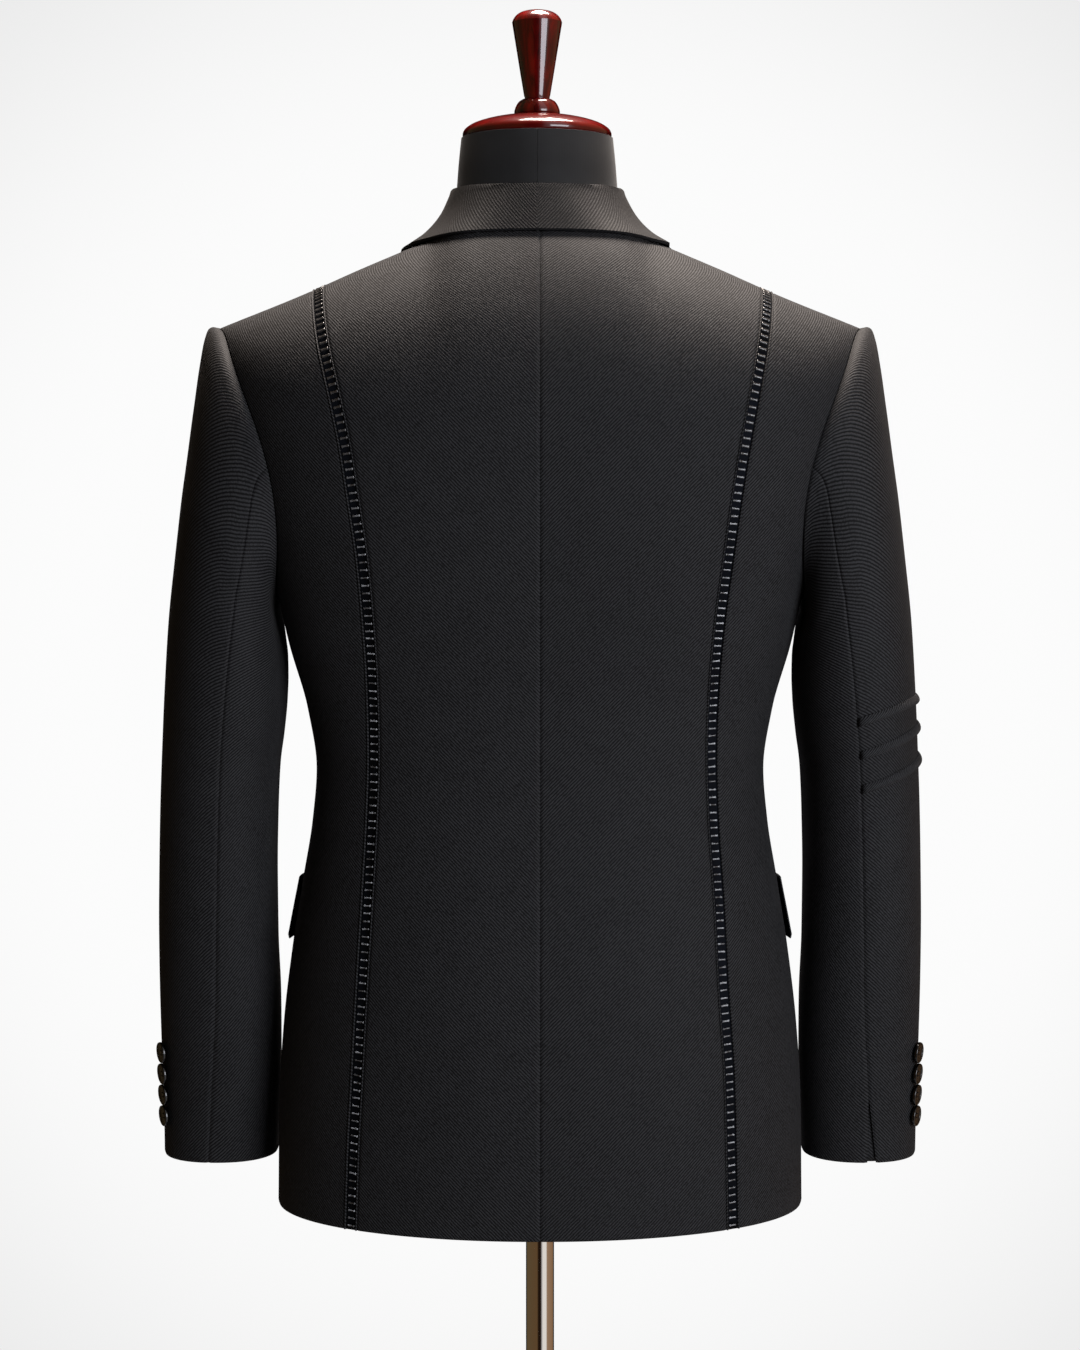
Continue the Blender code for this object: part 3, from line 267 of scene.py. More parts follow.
FORM = (("up", "half", "back", "front", "square_back", "square_front"),
        (FORM_FOOT_UP, 0.1880, 0.1100, 0.1120, 2.1, 2.1),
        (0.100, 0.1895, 0.1130, 0.1100, 2.1, 2.1),
        (0.150, 0.1860, 0.1120, 0.1080, 2.1, 2.1),
        (0.202, 0.1805, 0.1065, 0.1045, 2.2, 2.2),
        (0.253, 0.1725, 0.0975, 0.1015, 2.2, 2.2),
        (0.300, 0.1640, 0.0880, 0.1000, 2.3, 2.2),
        (0.340, 0.1605, 0.0830, 0.1000, 2.3, 2.2),
        (0.385, 0.1665, 0.0830, 0.1030, 2.3, 2.2),
        (0.435, 0.1790, 0.0885, 0.1080, 2.4, 2.3),
        (0.470, 0.1860, 0.0945, 0.1090, 2.4, 2.3),
        (0.545, 0.1990, 0.1040, 0.1060, 2.5, 2.4),
        (0.600, 0.2090, 0.1080, 0.1045, 2.5, 2.4),
        (0.645, 0.2160, 0.1030, 0.0960, 2.3, 2.1),
        (0.670, 0.2170, 0.0980, 0.0905, 2.2, 2.0))
NECK = (("up", "radius"),
        (0.6870, 0.0865), (0.7020, 0.0806), (0.7200, 0.0740), (0.7370, 0.0685),
        (0.7520, 0.0655), (0.7640, 0.0636), (0.7780, 0.0616), (0.8000, 0.0598),
        (NECK_TOP_UP, 0.0578))

# Turned profiles, radius then height above the hem; the base's stands on the floor.
CAP_PROFILE = ((0.0, 0.8196), (0.0556, 0.8196), (0.0566, 0.8208), (0.0566, 0.8232),
               (0.0548, 0.8262), (0.0490, 0.8298), (0.0390, 0.8330), (0.0270, 0.8354),
               (0.0160, 0.8366), (0.0, 0.8366))
BEAD_PROFILE = ((0.0, 0.8369), (0.0164, 0.8369), (0.0173, 0.8382), (0.0172, 0.8408),
                (0.0160, 0.8440), (0.0140, 0.8470), (0.0112, 0.8488), (0.0, 0.8488))
HANDLE_PROFILE = ((0.0, 0.8491), (0.0092, 0.8491), (0.0100, 0.8520), (0.0127, 0.8680),
                  (0.0190, 0.9066), (0.0181, 0.9090), (0.0160, 0.9117), (0.0125, 0.9140),
                  (0.0070, 0.9154), (0.0, 0.9158))
BASE_PROFILE = ((0.0, 0.0), (BASE_RADIUS, 0.0), (BASE_RADIUS, 0.006), (0.182, 0.0105),
                (0.120, 0.0150), (0.045, 0.0200), (0.030, 0.0240), (0.024, 0.0420),
                (0.0, 0.0420))
FERRULE_PROFILE = ((0.0113, 0.0), (0.0163, 0.0), (0.0167, 0.0015), (0.0163, 0.0030),
                   (0.0145, 0.0042), (0.0145, 0.0090), (0.0138, 0.0100), (0.0113, 0.0100))
BUTTON_DISH = 0.70
BUTTON_PROFILE = ((0.0, 0.0), (0.58, 0.0), (0.60, 0.03), (0.66, 0.28), (0.84, 0.37),
                  (0.97, 0.44), (1.0, 0.60), (0.99, 0.84), (0.95, 0.97), (0.89, 1.0),
                  (0.82, 0.97), (0.74, 0.82), (0.66, 0.73), (0.58, 0.75), (0.50, 0.79),
                  (0.43, 0.75), (0.36, BUTTON_DISH), (0.0, BUTTON_DISH))

# Flat cuts: width and length of the piece of cloth, and the area of its own outline.
FLAT_CUTS = {
    "back": (0.205, 0.780, 0.108),
    "side_back": (0.137, 0.726, 0.062),
    "front": (0.290, 0.780, 0.168),
    "top_sleeve": (0.243, 0.655, 0.125),
    "under_sleeve": (0.165, 0.548, 0.069),
    "collar": (0.473, 0.070, 0.032),
    "lapel": (0.076, 0.334, 0.0198),
    "flap": (0.150, 0.052, 0.0077),
    "trim": (0.0100, 0.772, 0.0077),
    "welt": (0.205, 0.0105, 0.0021),
}

# How the finished seams, edges and heads lie, in metres.
PRESS_DROP = 0.0007        # a pressed seam sinks this far
PRESS_WIDTH = 0.0022       # over this width
ROPE_RISE = 0.0014         # roped sleeve head
RIPPLE = 0.0005            # the cloth's quiet unevenness
RIPPLE_SCALE = 11.0
EDGE_STEPS = (0.0, 0.0004, 0.0009, 0.0015, 0.0023, 0.0034)
HEM_STEPS = (0.0, 0.0004, 0.0009, 0.0016, 0.0026)
FLAP_STEPS = (0.2030, 0.2034, 0.2039, 0.2046, 0.2056)
SLEEVE_HEAD_ROWS = (0.06, 0.09, 0.14, 0.20, 0.28, 0.38, 0.50, 0.65, 0.80, 1.0, 1.2, 1.4, 1.6,
                    1.8, 2.0)
CUFF_ROWS = (16.94, 16.97, 16.985)
ROW_LENGTH = 0.042         # of sleeve in one row of its table

SIDES = (("left", 1), ("right", -1))

CAMERA_PLACE = (0.0, 2.0, 1.225)
CAMERA_DOWN = 3.8566       # degrees
CAMERA_LENS = 69.227       # millimetres

# Lamps: name, place, aim, width and height, watts, tint, whether mirrors show it.
LAMPS = (
    ("overhead", (-0.12, -0.20, 2.6), (0.0, 0.0, 1.2), (0.6, 0.6), 92.0, "#fff1e6", True),
    ("key", (-1.45, 2.10, 1.45), (0.0, 0.0, 1.15), (1.3, 1.5), 58.0, "#f2f5ff", True),
    ("front left", (1.0, -2.6, 1.7), (0.0, 0.0, 1.1), (1.2, 1.4), 34.0, "#f6f6ff", False),
    ("front right", (-0.9, -2.7, 1.9), (0.0, 0.0, 1.1), (1.2, 1.4), 26.0, "#ffffff", False),
)

# The room's walls as they are mirrored in chrome and lacquer: degrees round from behind
# the camera, to the wearer's right, and the colour there.
ROOM = ((-180, "#050505"), (-140, "#0a0807"), (-131, "#66573f"), (-24, "#6a5238"),
        (-12, "#1c120c"), (8, "#2a1c14"), (16, "#c8c8cc"), (24, "#ffffff"), (52, "#ffffff"),
        (60, "#a88b72"), (130, "#957558"), (140, "#0a0807"), (180, "#050505"))
ROOM_LIGHT = 1.0
FILL_LIGHT = 0.05


# ---------------------------------------------------------------- reading the tables
def column(table, name):
    return np.array([row[table[0].index(name)] for row in table[1:]], float)


@lru_cache(maxsize=None)
def knots(table, key, name):
    """The table's points with the slopes of a cubic that never swings past them."""
    xs, ys = column(table, key), column(table, name)
    return xs, ys, slopes(xs, ys)


def slopes(xs, ys):
    step = np.diff(xs)
    rise = np.diff(ys) / step
    slope = np.empty(len(xs))
    slope[0], slope[-1] = rise[0], rise[-1]
    for i in range(1, len(xs) - 1):
        slope[i] = 0.0
        if rise[i - 1] * rise[i] > 0:
            near = 2 * step[i] + step[i - 1]
            far = step[i] + 2 * step[i - 1]
            slope[i] = (near + far) / (near / rise[i - 1] + far / rise[i])
    return slope


def cubic(xs, ys, slope, x):
    x = min(max(x, xs[0]), xs[-1])
    i = min(int(np.searchsorted(xs, x, side="right")) - 1, len(xs) - 2)
    step = xs[i + 1] - xs[i]
    t = (x - xs[i]) / step
    return float((2 * t**3 - 3 * t**2 + 1) * ys[i] + (t**3 - 2 * t**2 + t) * step * slope[i]
                 + (3 * t**2 - 2 * t**3) * ys[i + 1] + (t**3 - t**2) * step * slope[i + 1])


def read(table, key, name, x):
    return cubic(*knots(table, key, name), x)


def ease(x):
    x = min(max(x, 0.0), 1.0)
    return x * x * (3 - 2 * x)


def through(points, count):
    """A smooth line through the given points, at evenly spaced places along it."""
    chain = [Vector(p) for p in points]
    chain = [2 * chain[0] - chain[1]] + chain + [2 * chain[-1] - chain[-2]]
    fine = []
    for a, b, c, d in zip(chain, chain[1:], chain[2:], chain[3:]):
        for k in range(12):
            t = k / 12
            fine.append(0.5 * (2 * b + (c - a) * t + (2 * a - 5 * b + 4 * c - d) * t * t
                               + (3 * b - a - 3 * c + d) * t ** 3))
    fine.append(chain[-2])
    along = np.concatenate(([0.0], np.cumsum([(q - p).length for p, q in zip(fine, fine[1:])])))
    spots = np.linspace(0.0, along[-1], count)
    axes = [np.interp(spots, along, [p[k] for p in fine]) for k in range(len(fine[0]))]
    return [Vector(values) for values in zip(*axes)]


# ---------------------------------------------------------------- the body's surface
TORSO_ROWS = np.array(TORSO)
TORSO_SLOPES = [slopes(TORSO_ROWS[:, 0], TORSO_ROWS[:, i]) for i in range(len(LEVEL))]


@lru_cache(maxsize=None)
def level(up):
    ups = TORSO_ROWS[:, 0]
    return dict((name, cubic(ups, TORSO_ROWS[:, i], TORSO_SLOPES[i], up))
                for i, name in enumerate(LEVEL))


@lru_cache(maxsize=None)
def curve(half, depth, square):
    """One quarter of an outline, from the side to the centre."""
    turn = np.linspace(0.0, math.pi / 2, 241)
    return half * np.cos(turn).clip(0.0) ** (2.0 / square), depth * np.sin(turn) ** (2.0 / square)


def with_share(x, y):
    along = np.concatenate(([0.0], np.cumsum(np.hypot(np.diff(x), np.diff(y)))))
    return along / along[-1], x, y, along[-1]


def size_curve(size, behind):
    if behind:
        return curve(size["half"], size["back"], size["square_back"])
    return curve(size["half"], size["front"], size["square_front"])


@lru_cache(maxsize=None)
def ridge_heights():
    xs = np.linspace(0.0, SHOULDER_X, 300)
    return xs, np.array([read(RIDGE, "x", "up", x) for x in xs])


@lru_cache(maxsize=None)
def quarter(up, behind):
    """One quarter of the cloth's outline at a level, with the share of its length."""
    x, y = size_curve(level(up), behind)
    start, power = ARCH_BACK if behind else ARCH_FRONT
    if up > start:
        xs, tops = ridge_heights()
        if up > TIP_UP:
            reach = float(np.interp(-up, -tops, xs))
            wide = x
            x = x * (reach / SHOULDER_X)
            y = np.interp(-x, -wide, y)
        climb = ((up - start) / (np.interp(x, xs, tops) - start)).clip(0.0, 1.0)
        y = y * (1.0 - climb ** power) ** (1.0 / power)
    return with_share(x, y)


def share_at(x, up, behind):
    """The share of the quarter, from the side, at which the outline is x off centre."""
    share, xs, _, _ = quarter(round(up, 6), behind)
    return float(np.interp(-x, -xs, share))


def on_outline(outline, s, up):
    """s runs from 0 at the side to 1 at the centre back, and to -1 at the centre front;
    past them it goes on round the other side."""
    mirror = 1.0
    if abs(s) > 1.0:
        s, mirror = math.copysign(2.0, s) - s, -1.0
    share, xs, ys, _ = outline(s >= 0)
    x = float(np.interp(abs(s), share, xs))
    y = float(np.interp(abs(s), share, ys)) * (1.0 if s >= 0 else -1.0)
    return Vector((x * mirror, y, up))


def body_point(s, up):
    return on_outline(lambda behind: quarter(round(up, 6), behind), s, up)


def normal_of(surface, a, b, step_a, step_b):
    """Unit normal of a surface of two parameters, from differences."""
    along = surface(a + step_a, b) - surface(a - step_a, b)
    across = surface(a, b + step_b) - surface(a, b - step_b)
    return along.cross(across).normalized()


def body_normal(s, up):
    up = round(max(up, 0.001), 6)
    normal = normal_of(body_point, s, up, 0.012, 0.0008)
    outward = Vector((body_point(s, up).x, body_point(s, up).y, 0.02))
    return normal if normal.dot(outward) > 0 else -normal


def front_share(x, up):
    """Like share_at on the front, also past the centre front."""
    if x < 0:
        return -2.0 + share_at(-x, up, False)
    return -share_at(x, up, False)


def rippled(point, normal):
    """The cloth never lies quite even: a slow swell of half a millimetre."""
    swell = noise.noise(Vector((point.x, point.y, point.z * 0.6)) * RIPPLE_SCALE)
    return point + normal * (RIPPLE * swell)


def cloth_at(s, up):
    normal = body_normal(s, up)
    return rippled(body_point(s, up), normal), normal


@lru_cache(maxsize=None)
def rise_along(up):
    """Length of cloth from the hem up to a level, measured up the back."""
    ups = np.linspace(0.0, max(up, 1e-4), 40)
    points = [body_point(0.6, float(u)) for u in ups]
    return sum((q - p).length for p, q in zip(points, points[1:]))


def body_flat(s, up):
    """Place on the flat cloth: off the centre seam, and up from the hem."""
    length = quarter(round(up, 6), s >= 0)[3]
    return (1.0 - abs(s)) * length, rise_along(round(up, 6))


# ---------------------------------------------------------------- armhole and sleeve
ARMHOLE_MID = (TIP_UP + ARMPIT_UP) / 2
ARMHOLE_HALF = (TIP_UP - ARMPIT_UP) / 2


def armhole_share(turn):
    """Share on the back (plus) or front (minus) at an angle from the shoulder point."""
    if math.sin(turn) >= 0:
        return (ARMHOLE_BACK - ARMHOLE_SKEW * math.cos(turn)) * math.sin(turn)
    return ARMHOLE_FRONT * math.sin(turn)


def armhole_at(up, behind):
    """Share of the armhole's edge at a level; the side seam or ridge beyond its ends."""
    c = (up - ARMHOLE_MID) / ARMHOLE_HALF
    if abs(c) >= 1.0:
        return 0.0
    turn = math.acos(c)
    return armhole_share(turn if behind else -turn)


@lru_cache(maxsize=None)
def armhole_point(turn):
    up = ARMHOLE_MID + ARMHOLE_HALF * math.cos(turn)
    s = armhole_share(turn)
    return body_point(s, up) + body_normal(s, up) * LAY_GAP


@lru_cache(maxsize=None)
def sleeve_ring(row):
    rows = np.arange(SLEEVE_LAST + 1.0)
    values = [column(SLEEVE, name) for name in SLEEVE[0]]
    return dict((name, cubic(rows, v, slopes(rows, v), row)) for name, v in zip(SLEEVE[0], values))


def oval_point(angle, ring):
    turn = math.radians(angle)
    out = math.copysign(abs(math.cos(turn)) ** (2 / SLEEVE_SQUARE), math.cos(turn))
    deep = math.copysign(abs(math.sin(turn)) ** (2 / SLEEVE_SQUARE), math.sin(turn))
    x = (ring["outer_x"] + ring["inner_x"] + out * (ring["outer_x"] - ring["inner_x"])) / 2
    up = (ring["outer_up"] + ring["inner_up"] + out * (ring["outer_up"] - ring["inner_up"])) / 2
    return Vector((x, ring["mid_y"] + deep * ring["half_y"], up))


def sleeve_point(angle, row):
    """Angle in degrees: 0 at the outer edge, 90 behind, 180 at the body, 270 in front."""
    ring = sleeve_ring(round(min(max(row, 0.0), SLEEVE_LAST), 5))
    point = oval_point(angle, ring)
    if ring["free"] < 1.0:
        pull = armhole_point(round(math.radians(angle), 6)) - oval_point(angle, sleeve_ring(0))
        point = point + pull * (1.0 - ring["free"])
    return point


def sleeve_normal(angle, row):
    row = min(max(row, 0.03), SLEEVE_LAST - 0.03)
    normal = normal_of(sleeve_point, angle, row, 2.0, 0.03)
    ring = sleeve_ring(round(row, 5))
    middle = Vector(((ring["outer_x"] + ring["inner_x"]) / 2, ring["mid_y"],
                     (ring["outer_up"] + ring["inner_up"]) / 2))
    return normal if normal.dot(sleeve_point(angle, row) - middle) > 0 else -normal


def elbow_angle(row):
    return read(ELBOW, "row", "angle", row)


@lru_cache(maxsize=None)
def sleeve_girth(row):
    points = [sleeve_point(a, row) for a in range(0, 361, 12)]
    return sum((q - p).length for p, q in zip(points, points[1:]))


@lru_cache(maxsize=None)
def sleeve_drop(row):
    rows = np.linspace(0.0, max(row, 1e-4), 30)
    points = [sleeve_point(60.0, float(r)) for r in rows]
    return sum((q - p).length for p, q in zip(points, points[1:]))


def sleeve_flat(angle, row):
    row = round(row, 5)
    return angle / 360 * sleeve_girth(row), -sleeve_drop(row)


# ---------------------------------------------------------------- materials
def linear(colour):
    """An sRGB hex colour as linear light."""
    parts = [int(colour[i:i + 2], 16) / 255 for i in (1, 3, 5)]
    return tuple(p / 12.92 if p <= 0.04045 else ((p + 0.055) / 1.055) ** 2.4
                 for p in parts) + (1.0,)


def add(tree, kind, settings=None, **links):
    """Adds a node; links are input_name=value or an output socket to join to it."""
    node = tree.nodes.new(kind)
    for name, value in (settings or {}).items():
        setattr(node, name, value)
    for name, value in links.items():
        key = int(name[1:]) if name[0] == "i" and name[1:].isdigit() else name.replace("_", " ")
        if isinstance(value, bpy.types.NodeSocket):
            tree.links.new(value, node.inputs[key])
        else:
            node.inputs[key].default_value = value
    return node


def join(tree, source, target):
    tree.links.new(source, target)


def new_finish(name, **settings):
    """A material with its Principled shader, its inputs named in settings, and a texture
    coordinate node."""
    made = bpy.data.materials.new(name)
    made.use_nodes = True
    tree = made.node_tree
    shader = tree.nodes["Principled BSDF"]
    for key, value in settings.items():
        shader.inputs[key.replace("_", " ")].default_value = value
    return made, tree, shader, add(tree, "ShaderNodeTexCoord")


def coloured(tree, shader, factor, dark, light, first=0.0, last=1.0):
    """Base colour that runs from dark to light between two values of the factor."""
    join(tree, ramp(tree, factor, dark, light, first, last), shader.inputs["Base Color"])


def ramp(tree, factor, dark, light, first, last):
    shade = add(tree, "ShaderNodeValToRGB", Fac=factor)
    for stop, place, colour in zip(shade.color_ramp.elements, (first, last), (dark, light)):
        stop.position = place
        stop.color = linear(colour)
    return shade.outputs[0]


def bumped(tree, shader, height, strength, distance):
    bump = add(tree, "ShaderNodeBump", Height=height, Strength=strength, Distance=distance)
    join(tree, bump.outputs[0], shader.inputs["Normal"])


def roughened(tree, shader, value, smooth, dull, **ends):
    rough = add(tree, "ShaderNodeMapRange", Value=value, To_Min=smooth, To_Max=dull, **ends)
    join(tree, rough.outputs[0], shader.inputs["Roughness"])


FINISHES = {}


def finish(name):
    return FINISHES[name]


def wool_twill(name, dark, light, pitch_mm):
    """Worsted wool twill, pressed.  A matt black face whose diagonal ribs just catch the
    light, with a soft bloom of fibre ends.  Real ribs lie about 0.8 mm apart; they are
    drawn coarser so that they show at the photograph's distance."""
    made, tree, shader, place = new_finish(
        name, Roughness=0.72, IOR=1.45, Specular_IOR_Level=0.16, Sheen_Weight=0.04,
        Sheen_Roughness=0.45, Sheen_Tint=linear("#b4afac"))
    solid_noise = {"noise_dimensions": "3D"}
    times = {"operation": "MULTIPLY"}
    flat = add(tree, "ShaderNodeMapping", Vector=place.outputs["UV"],
               Rotation=(0.0, 0.0, math.radians(45)), Scale=(1000.0, 1000.0, 1.0))
    drift = add(tree, "ShaderNodeTexNoise", solid_noise, Vector=place.outputs["Object"],
                Scale=55.0, Detail=3.0, Roughness=0.6)
    ribs = add(tree, "ShaderNodeTexWave", {"bands_direction": "X", "wave_profile": "SIN"},
               Vector=flat.outputs[0], Scale=math.pi / 10 / pitch_mm, Distortion=0.6, Detail=2.0,
               Detail_Scale=1.2)
    threads = add(tree, "ShaderNodeTexNoise", solid_noise, Vector=flat.outputs[0], Scale=0.55,
                  Detail=2.0, Roughness=0.65)
    drawn = add(tree, "ShaderNodeMapping", Vector=flat.outputs[0], Scale=(1.0, 0.3, 1.0))
    dashes = add(tree, "ShaderNodeTexNoise", solid_noise, Vector=drawn.outputs[0], Scale=0.9,
                 Detail=1.0)
    broken = add(tree, "ShaderNodeMapRange", Value=dashes.outputs[0], From_Min=0.38,
                 From_Max=0.62, To_Min=0.6, To_Max=1.15)
    show = add(tree, "ShaderNodeMapRange", Value=drift.outputs[0], From_Min=0.38,
               From_Max=0.62, To_Min=0.82, To_Max=1.0)
    shown = add(tree, "ShaderNodeMath", times, i0=broken.outputs[0], i1=show.outputs[0])
    rib = add(tree, "ShaderNodeMath", times, i0=ribs.outputs["Fac"], i1=shown.outputs[0])
    mix = add(tree, "ShaderNodeMath", {"operation": "MULTIPLY_ADD"}, i0=threads.outputs[0],
              i1=0.5, i2=rib.outputs[0])
    # The lighter ribs and short dashes are painted into the base colour: a painted sheen along the
    # twill's real weave, over the cloth's own black; the same pattern is also bumped
    coloured(tree, shader, mix.outputs[0], dark, light, 0.36, 0.95)
    bumped(tree, shader, mix.outputs[0], 0.55, 0.00035)
    return made


def silk_satin(name, colour, light, pitch_mm, smooth=0.30, gloss=0.5):
    """Silk satin, woven with long floats: smooth, with a soft run of light across the
    threads.  The threads are drawn coarser than the real 0.1 mm."""
    made, tree, shader, place = new_finish(
        name, IOR=1.52, Specular_IOR_Level=gloss, Specular_Tint=linear("#aebfe0"),
        Anisotropic=0.5)
    flat = add(tree, "ShaderNodeMapping", Vector=place.outputs["UV"], Scale=(1000.0, 260.0, 1.0))
    floats = add(tree, "ShaderNodeTexNoise", Vector=flat.outputs[0], Scale=1.0 / pitch_mm,
                 Detail=3.0, Roughness=0.55)
    coloured(tree, shader, floats.outputs[0], colour, light)
    roughened(tree, shader, floats.outputs[0], smooth, smooth + 0.14)
    bumped(tree, shader, floats.outputs[0], 0.25, 0.0001)
    return made


def glazed_cord(name, pale, dull, top):
    """Silk cord, glazed and couched down in short bars. Its pale and grey patches are a painted
    highlight of the glaze; towards the shoulder this gives way to a dark painted tone like the
    cloth's, against the stronger light that falls there."""
    made, tree, shader, place = new_finish(name, IOR=1.55, Coat_Weight=0.3, Coat_Roughness=0.2)
    # Random patches of painted highlight, pale and grey, with matching roughness
    shine_patches = add(tree, "ShaderNodeTexNoise", Vector=place.outputs["Object"], Scale=170.0, Detail=1.0)
    heights = add(tree, "ShaderNodeSeparateXYZ", Vector=place.outputs["Object"])
    low, high = PAINTED_SHINE_FADES
    # By height the painted highlight turns to a dark painted tone on the shoulder, where the light
    # falls strongest
    near_top = add(tree, "ShaderNodeMapRange", {"interpolation_type": "SMOOTHSTEP"},
                   Value=heights.outputs["Z"], From_Min=HEM_Z + low, From_Max=HEM_Z + high)
    tone = add(tree, "ShaderNodeMix", {"data_type": "RGBA"}, i0=near_top.outputs[0],
               i6=ramp(tree, shine_patches.outputs[0], dull, pale, 0.38, 0.60), i7=linear(top))
    join(tree, tone.outputs[2], shader.inputs["Base Color"])
    roughened(tree, shader, shine_patches.outputs[0], 0.10, 0.36, From_Min=0.3, From_Max=0.7)
    twist = add(tree, "ShaderNodeTexWave", Vector=place.outputs["Object"], Scale=260.0,
                Distortion=1.0)
    bumped(tree, shader, twist.outputs["Fac"], 0.2, 0.0001)
    return made


def polished_horn(name, dark, light):
    """Buffalo horn, turned and polished: black with faint brown streaks under a wet shine."""
    made, tree, shader, place = new_finish(
        name, Roughness=0.22, IOR=1.45, Specular_IOR_Level=0.3, Coat_Weight=0.5,
        Coat_Roughness=0.04, Coat_IOR=1.45)
    streaks = add(tree, "ShaderNodeTexNoise", Vector=place.outputs["Object"], Scale=240.0,
                  Detail=4.0, Distortion=0.8)
    coloured(tree, shader, streaks.outputs[0], dark, light, 0.45, 0.85)
    return made


def stretched_jersey(name, dark, light):
    """Cotton jersey stretched over the form: flat, even black with a very fine knit, drawn
    at 1.2 mm where the real stitches are 0.4 mm."""
    made, tree, shader, place = new_finish(name, Roughness=0.8, Sheen_Weight=0.08,
                                           Specular_IOR_Level=0.25)
    wales = add(tree, "ShaderNodeTexWave", {"bands_direction": "X"},
                Vector=place.outputs["Object"], Scale=math.pi / 10 / 0.0012, Distortion=1.2,
                Detail=1.0)
    patchy = add(tree, "ShaderNodeTexNoise", Vector=place.outputs["Object"], Scale=35.0,
                 Detail=4.0)
    both = add(tree, "ShaderNodeMath", {"operation": "MULTIPLY_ADD"}, i0=wales.outputs["Fac"],
               i1=0.2, i2=patchy.outputs[0])
    coloured(tree, shader, both.outputs[0], dark, light, 0.3, 0.9)
    bumped(tree, shader, both.outputs[0], 0.25, 0.0002)
    return made


def lacquered_cherry(name, dark, light, drawn_out):
    """Cherry, turned, stained red and lacquered: deep red with darker grain, drawn out
    along the plank, under a thick glassy coat."""
    made, tree, shader, place = new_finish(
        name, Roughness=0.40, IOR=1.45, Specular_IOR_Level=0.05, Coat_Weight=1.0,
        Coat_Roughness=0.02, Coat_IOR=1.52)
    long = add(tree, "ShaderNodeMapping", Vector=place.outputs["Object"], Scale=drawn_out)
    grain = add(tree, "ShaderNodeTexNoise", Vector=long.outputs[0], Scale=190.0, Detail=5.0,
                Roughness=0.6, Distortion=0.5)
    coloured(tree, shader, grain.outputs[0], dark, light, 0.30, 0.72)
    return made


def chrome_plate(name, colour):
    """Chromium plate on a drawn tube: a mirror with faint lengthways polishing marks."""
    made, tree, shader, place = new_finish(name, Base_Color=linear(colour), Metallic=1.0)
    long = add(tree, "ShaderNodeMapping", Vector=place.outputs["Object"], Scale=(1.0, 1.0, 0.02))
    marks = add(tree, "ShaderNodeTexNoise", Vector=long.outputs[0], Scale=900.0, Detail=3.0)
    roughened(tree, shader, marks.outputs[0], 0.05, 0.13)
    return made


def powder_coat(name, colour):
    """Steel, powder coated: satin black with a slight orange peel."""
    made, tree, shader, place = new_finish(name, Base_Color=linear(colour))
    peel = add(tree, "ShaderNodeTexNoise", Vector=place.outputs["Object"], Scale=420.0,
               Detail=2.0)
    roughened(tree, shader, peel.outputs[0], 0.30, 0.44)
    bumped(tree, shader, peel.outputs[0], 0.3, 0.0003)
    return made


def studio_floor(name, colour):
    """Matt paper floor that thins out to nothing towards its rim."""
    made, tree, shader, place = new_finish(name, Base_Color=linear(colour), Roughness=0.9)
    away = add(tree, "ShaderNodeVectorMath", {"operation": "LENGTH"}, i0=place.outputs["Object"])
    shown = add(tree, "ShaderNodeMapRange", {"interpolation_type": "SMOOTHSTEP"},
                Value=away.outputs["Value"], From_Min=0.28, From_Max=0.95, To_Min=1.0, To_Max=0.0)
    join(tree, shown.outputs[0], shader.inputs["Alpha"])
    return made


def make_finishes(look):
    FINISHES.update(
        twill=wool_twill("worsted twill, pressed", look.cloth_dark, look.cloth_light,
                         look.twill_pitch),
        # A lighter copy of the twill: painted light on the faces of the sleeve tucks
        welt_twill=wool_twill("worsted twill, tuck, painted lighter", look.cloth_dark, "#3b3b3c",
                              look.twill_pitch),
        # A darker copy of the twill: painted shade on the collar, which faces up into the overhead
        # light
        collar_twill=wool_twill("worsted twill, collar, painted darker", "#030304", "#212122",
                                look.twill_pitch),
        satin=silk_satin("silk satin facing, woven", look.satin, "#121214", 0.5, 0.32, 0.35),
        lining=silk_satin("cupro lining, woven", "#0c0c0e", "#1a1a1e", 0.6),
        band=silk_satin("silk satin band, dull side out", "#040405", "#0a0a0b", 0.5, 0.62, 0.1),
        # Pale and grey: the bars' painted highlight; the last colour: their dark painted tone on
        # the shoulder
        cord=glazed_cord("silk cord bars, glazed", "#a0a1a2", "#444546", "#333231"),
        horn=polished_horn("buffalo horn, polished", "#030303", "#0c0907"),
        # Near-black copy of the horn: painted shade inside the button holes
        pit=polished_horn("button holes, painted shade", "#010101", "#030303"),
        form_cover=stretched_jersey("cotton jersey, stretched", "#111112", "#1f2021"),
        cherry_wood=lacquered_cherry("cherry, turned on end, lacquered", look.lacquer_dark,
                                     look.lacquer, (1.0, 1.0, 0.12)),
        cherry_plank=lacquered_cherry("cherry, turned flat, lacquered", "#3c0201",
                                      "#560301", (0.06, 0.7, 0.7)),
        chrome=chrome_plate("chromium plate, polished", "#d8d2cb"),
        base_paint=powder_coat("steel, powder coated", "#121213"),
    )


# ---------------------------------------------------------------- making pieces
def raised(point):
    return Vector((point.x, point.y, point.z + HEM_Z))


def on_scene(name, data, finishes, smooth_angle=40.0):
    mesh = bpy.data.meshes.new(name)
    data.to_mesh(mesh)
    data.free()
    for each in finishes:
        mesh.materials.append(each)
    mesh.shade_smooth()
    mesh.set_sharp_from_angle(angle=math.radians(smooth_angle))
    piece = bpy.data.objects.new(name, mesh)
    bpy.context.scene.collection.objects.link(piece)
    return piece


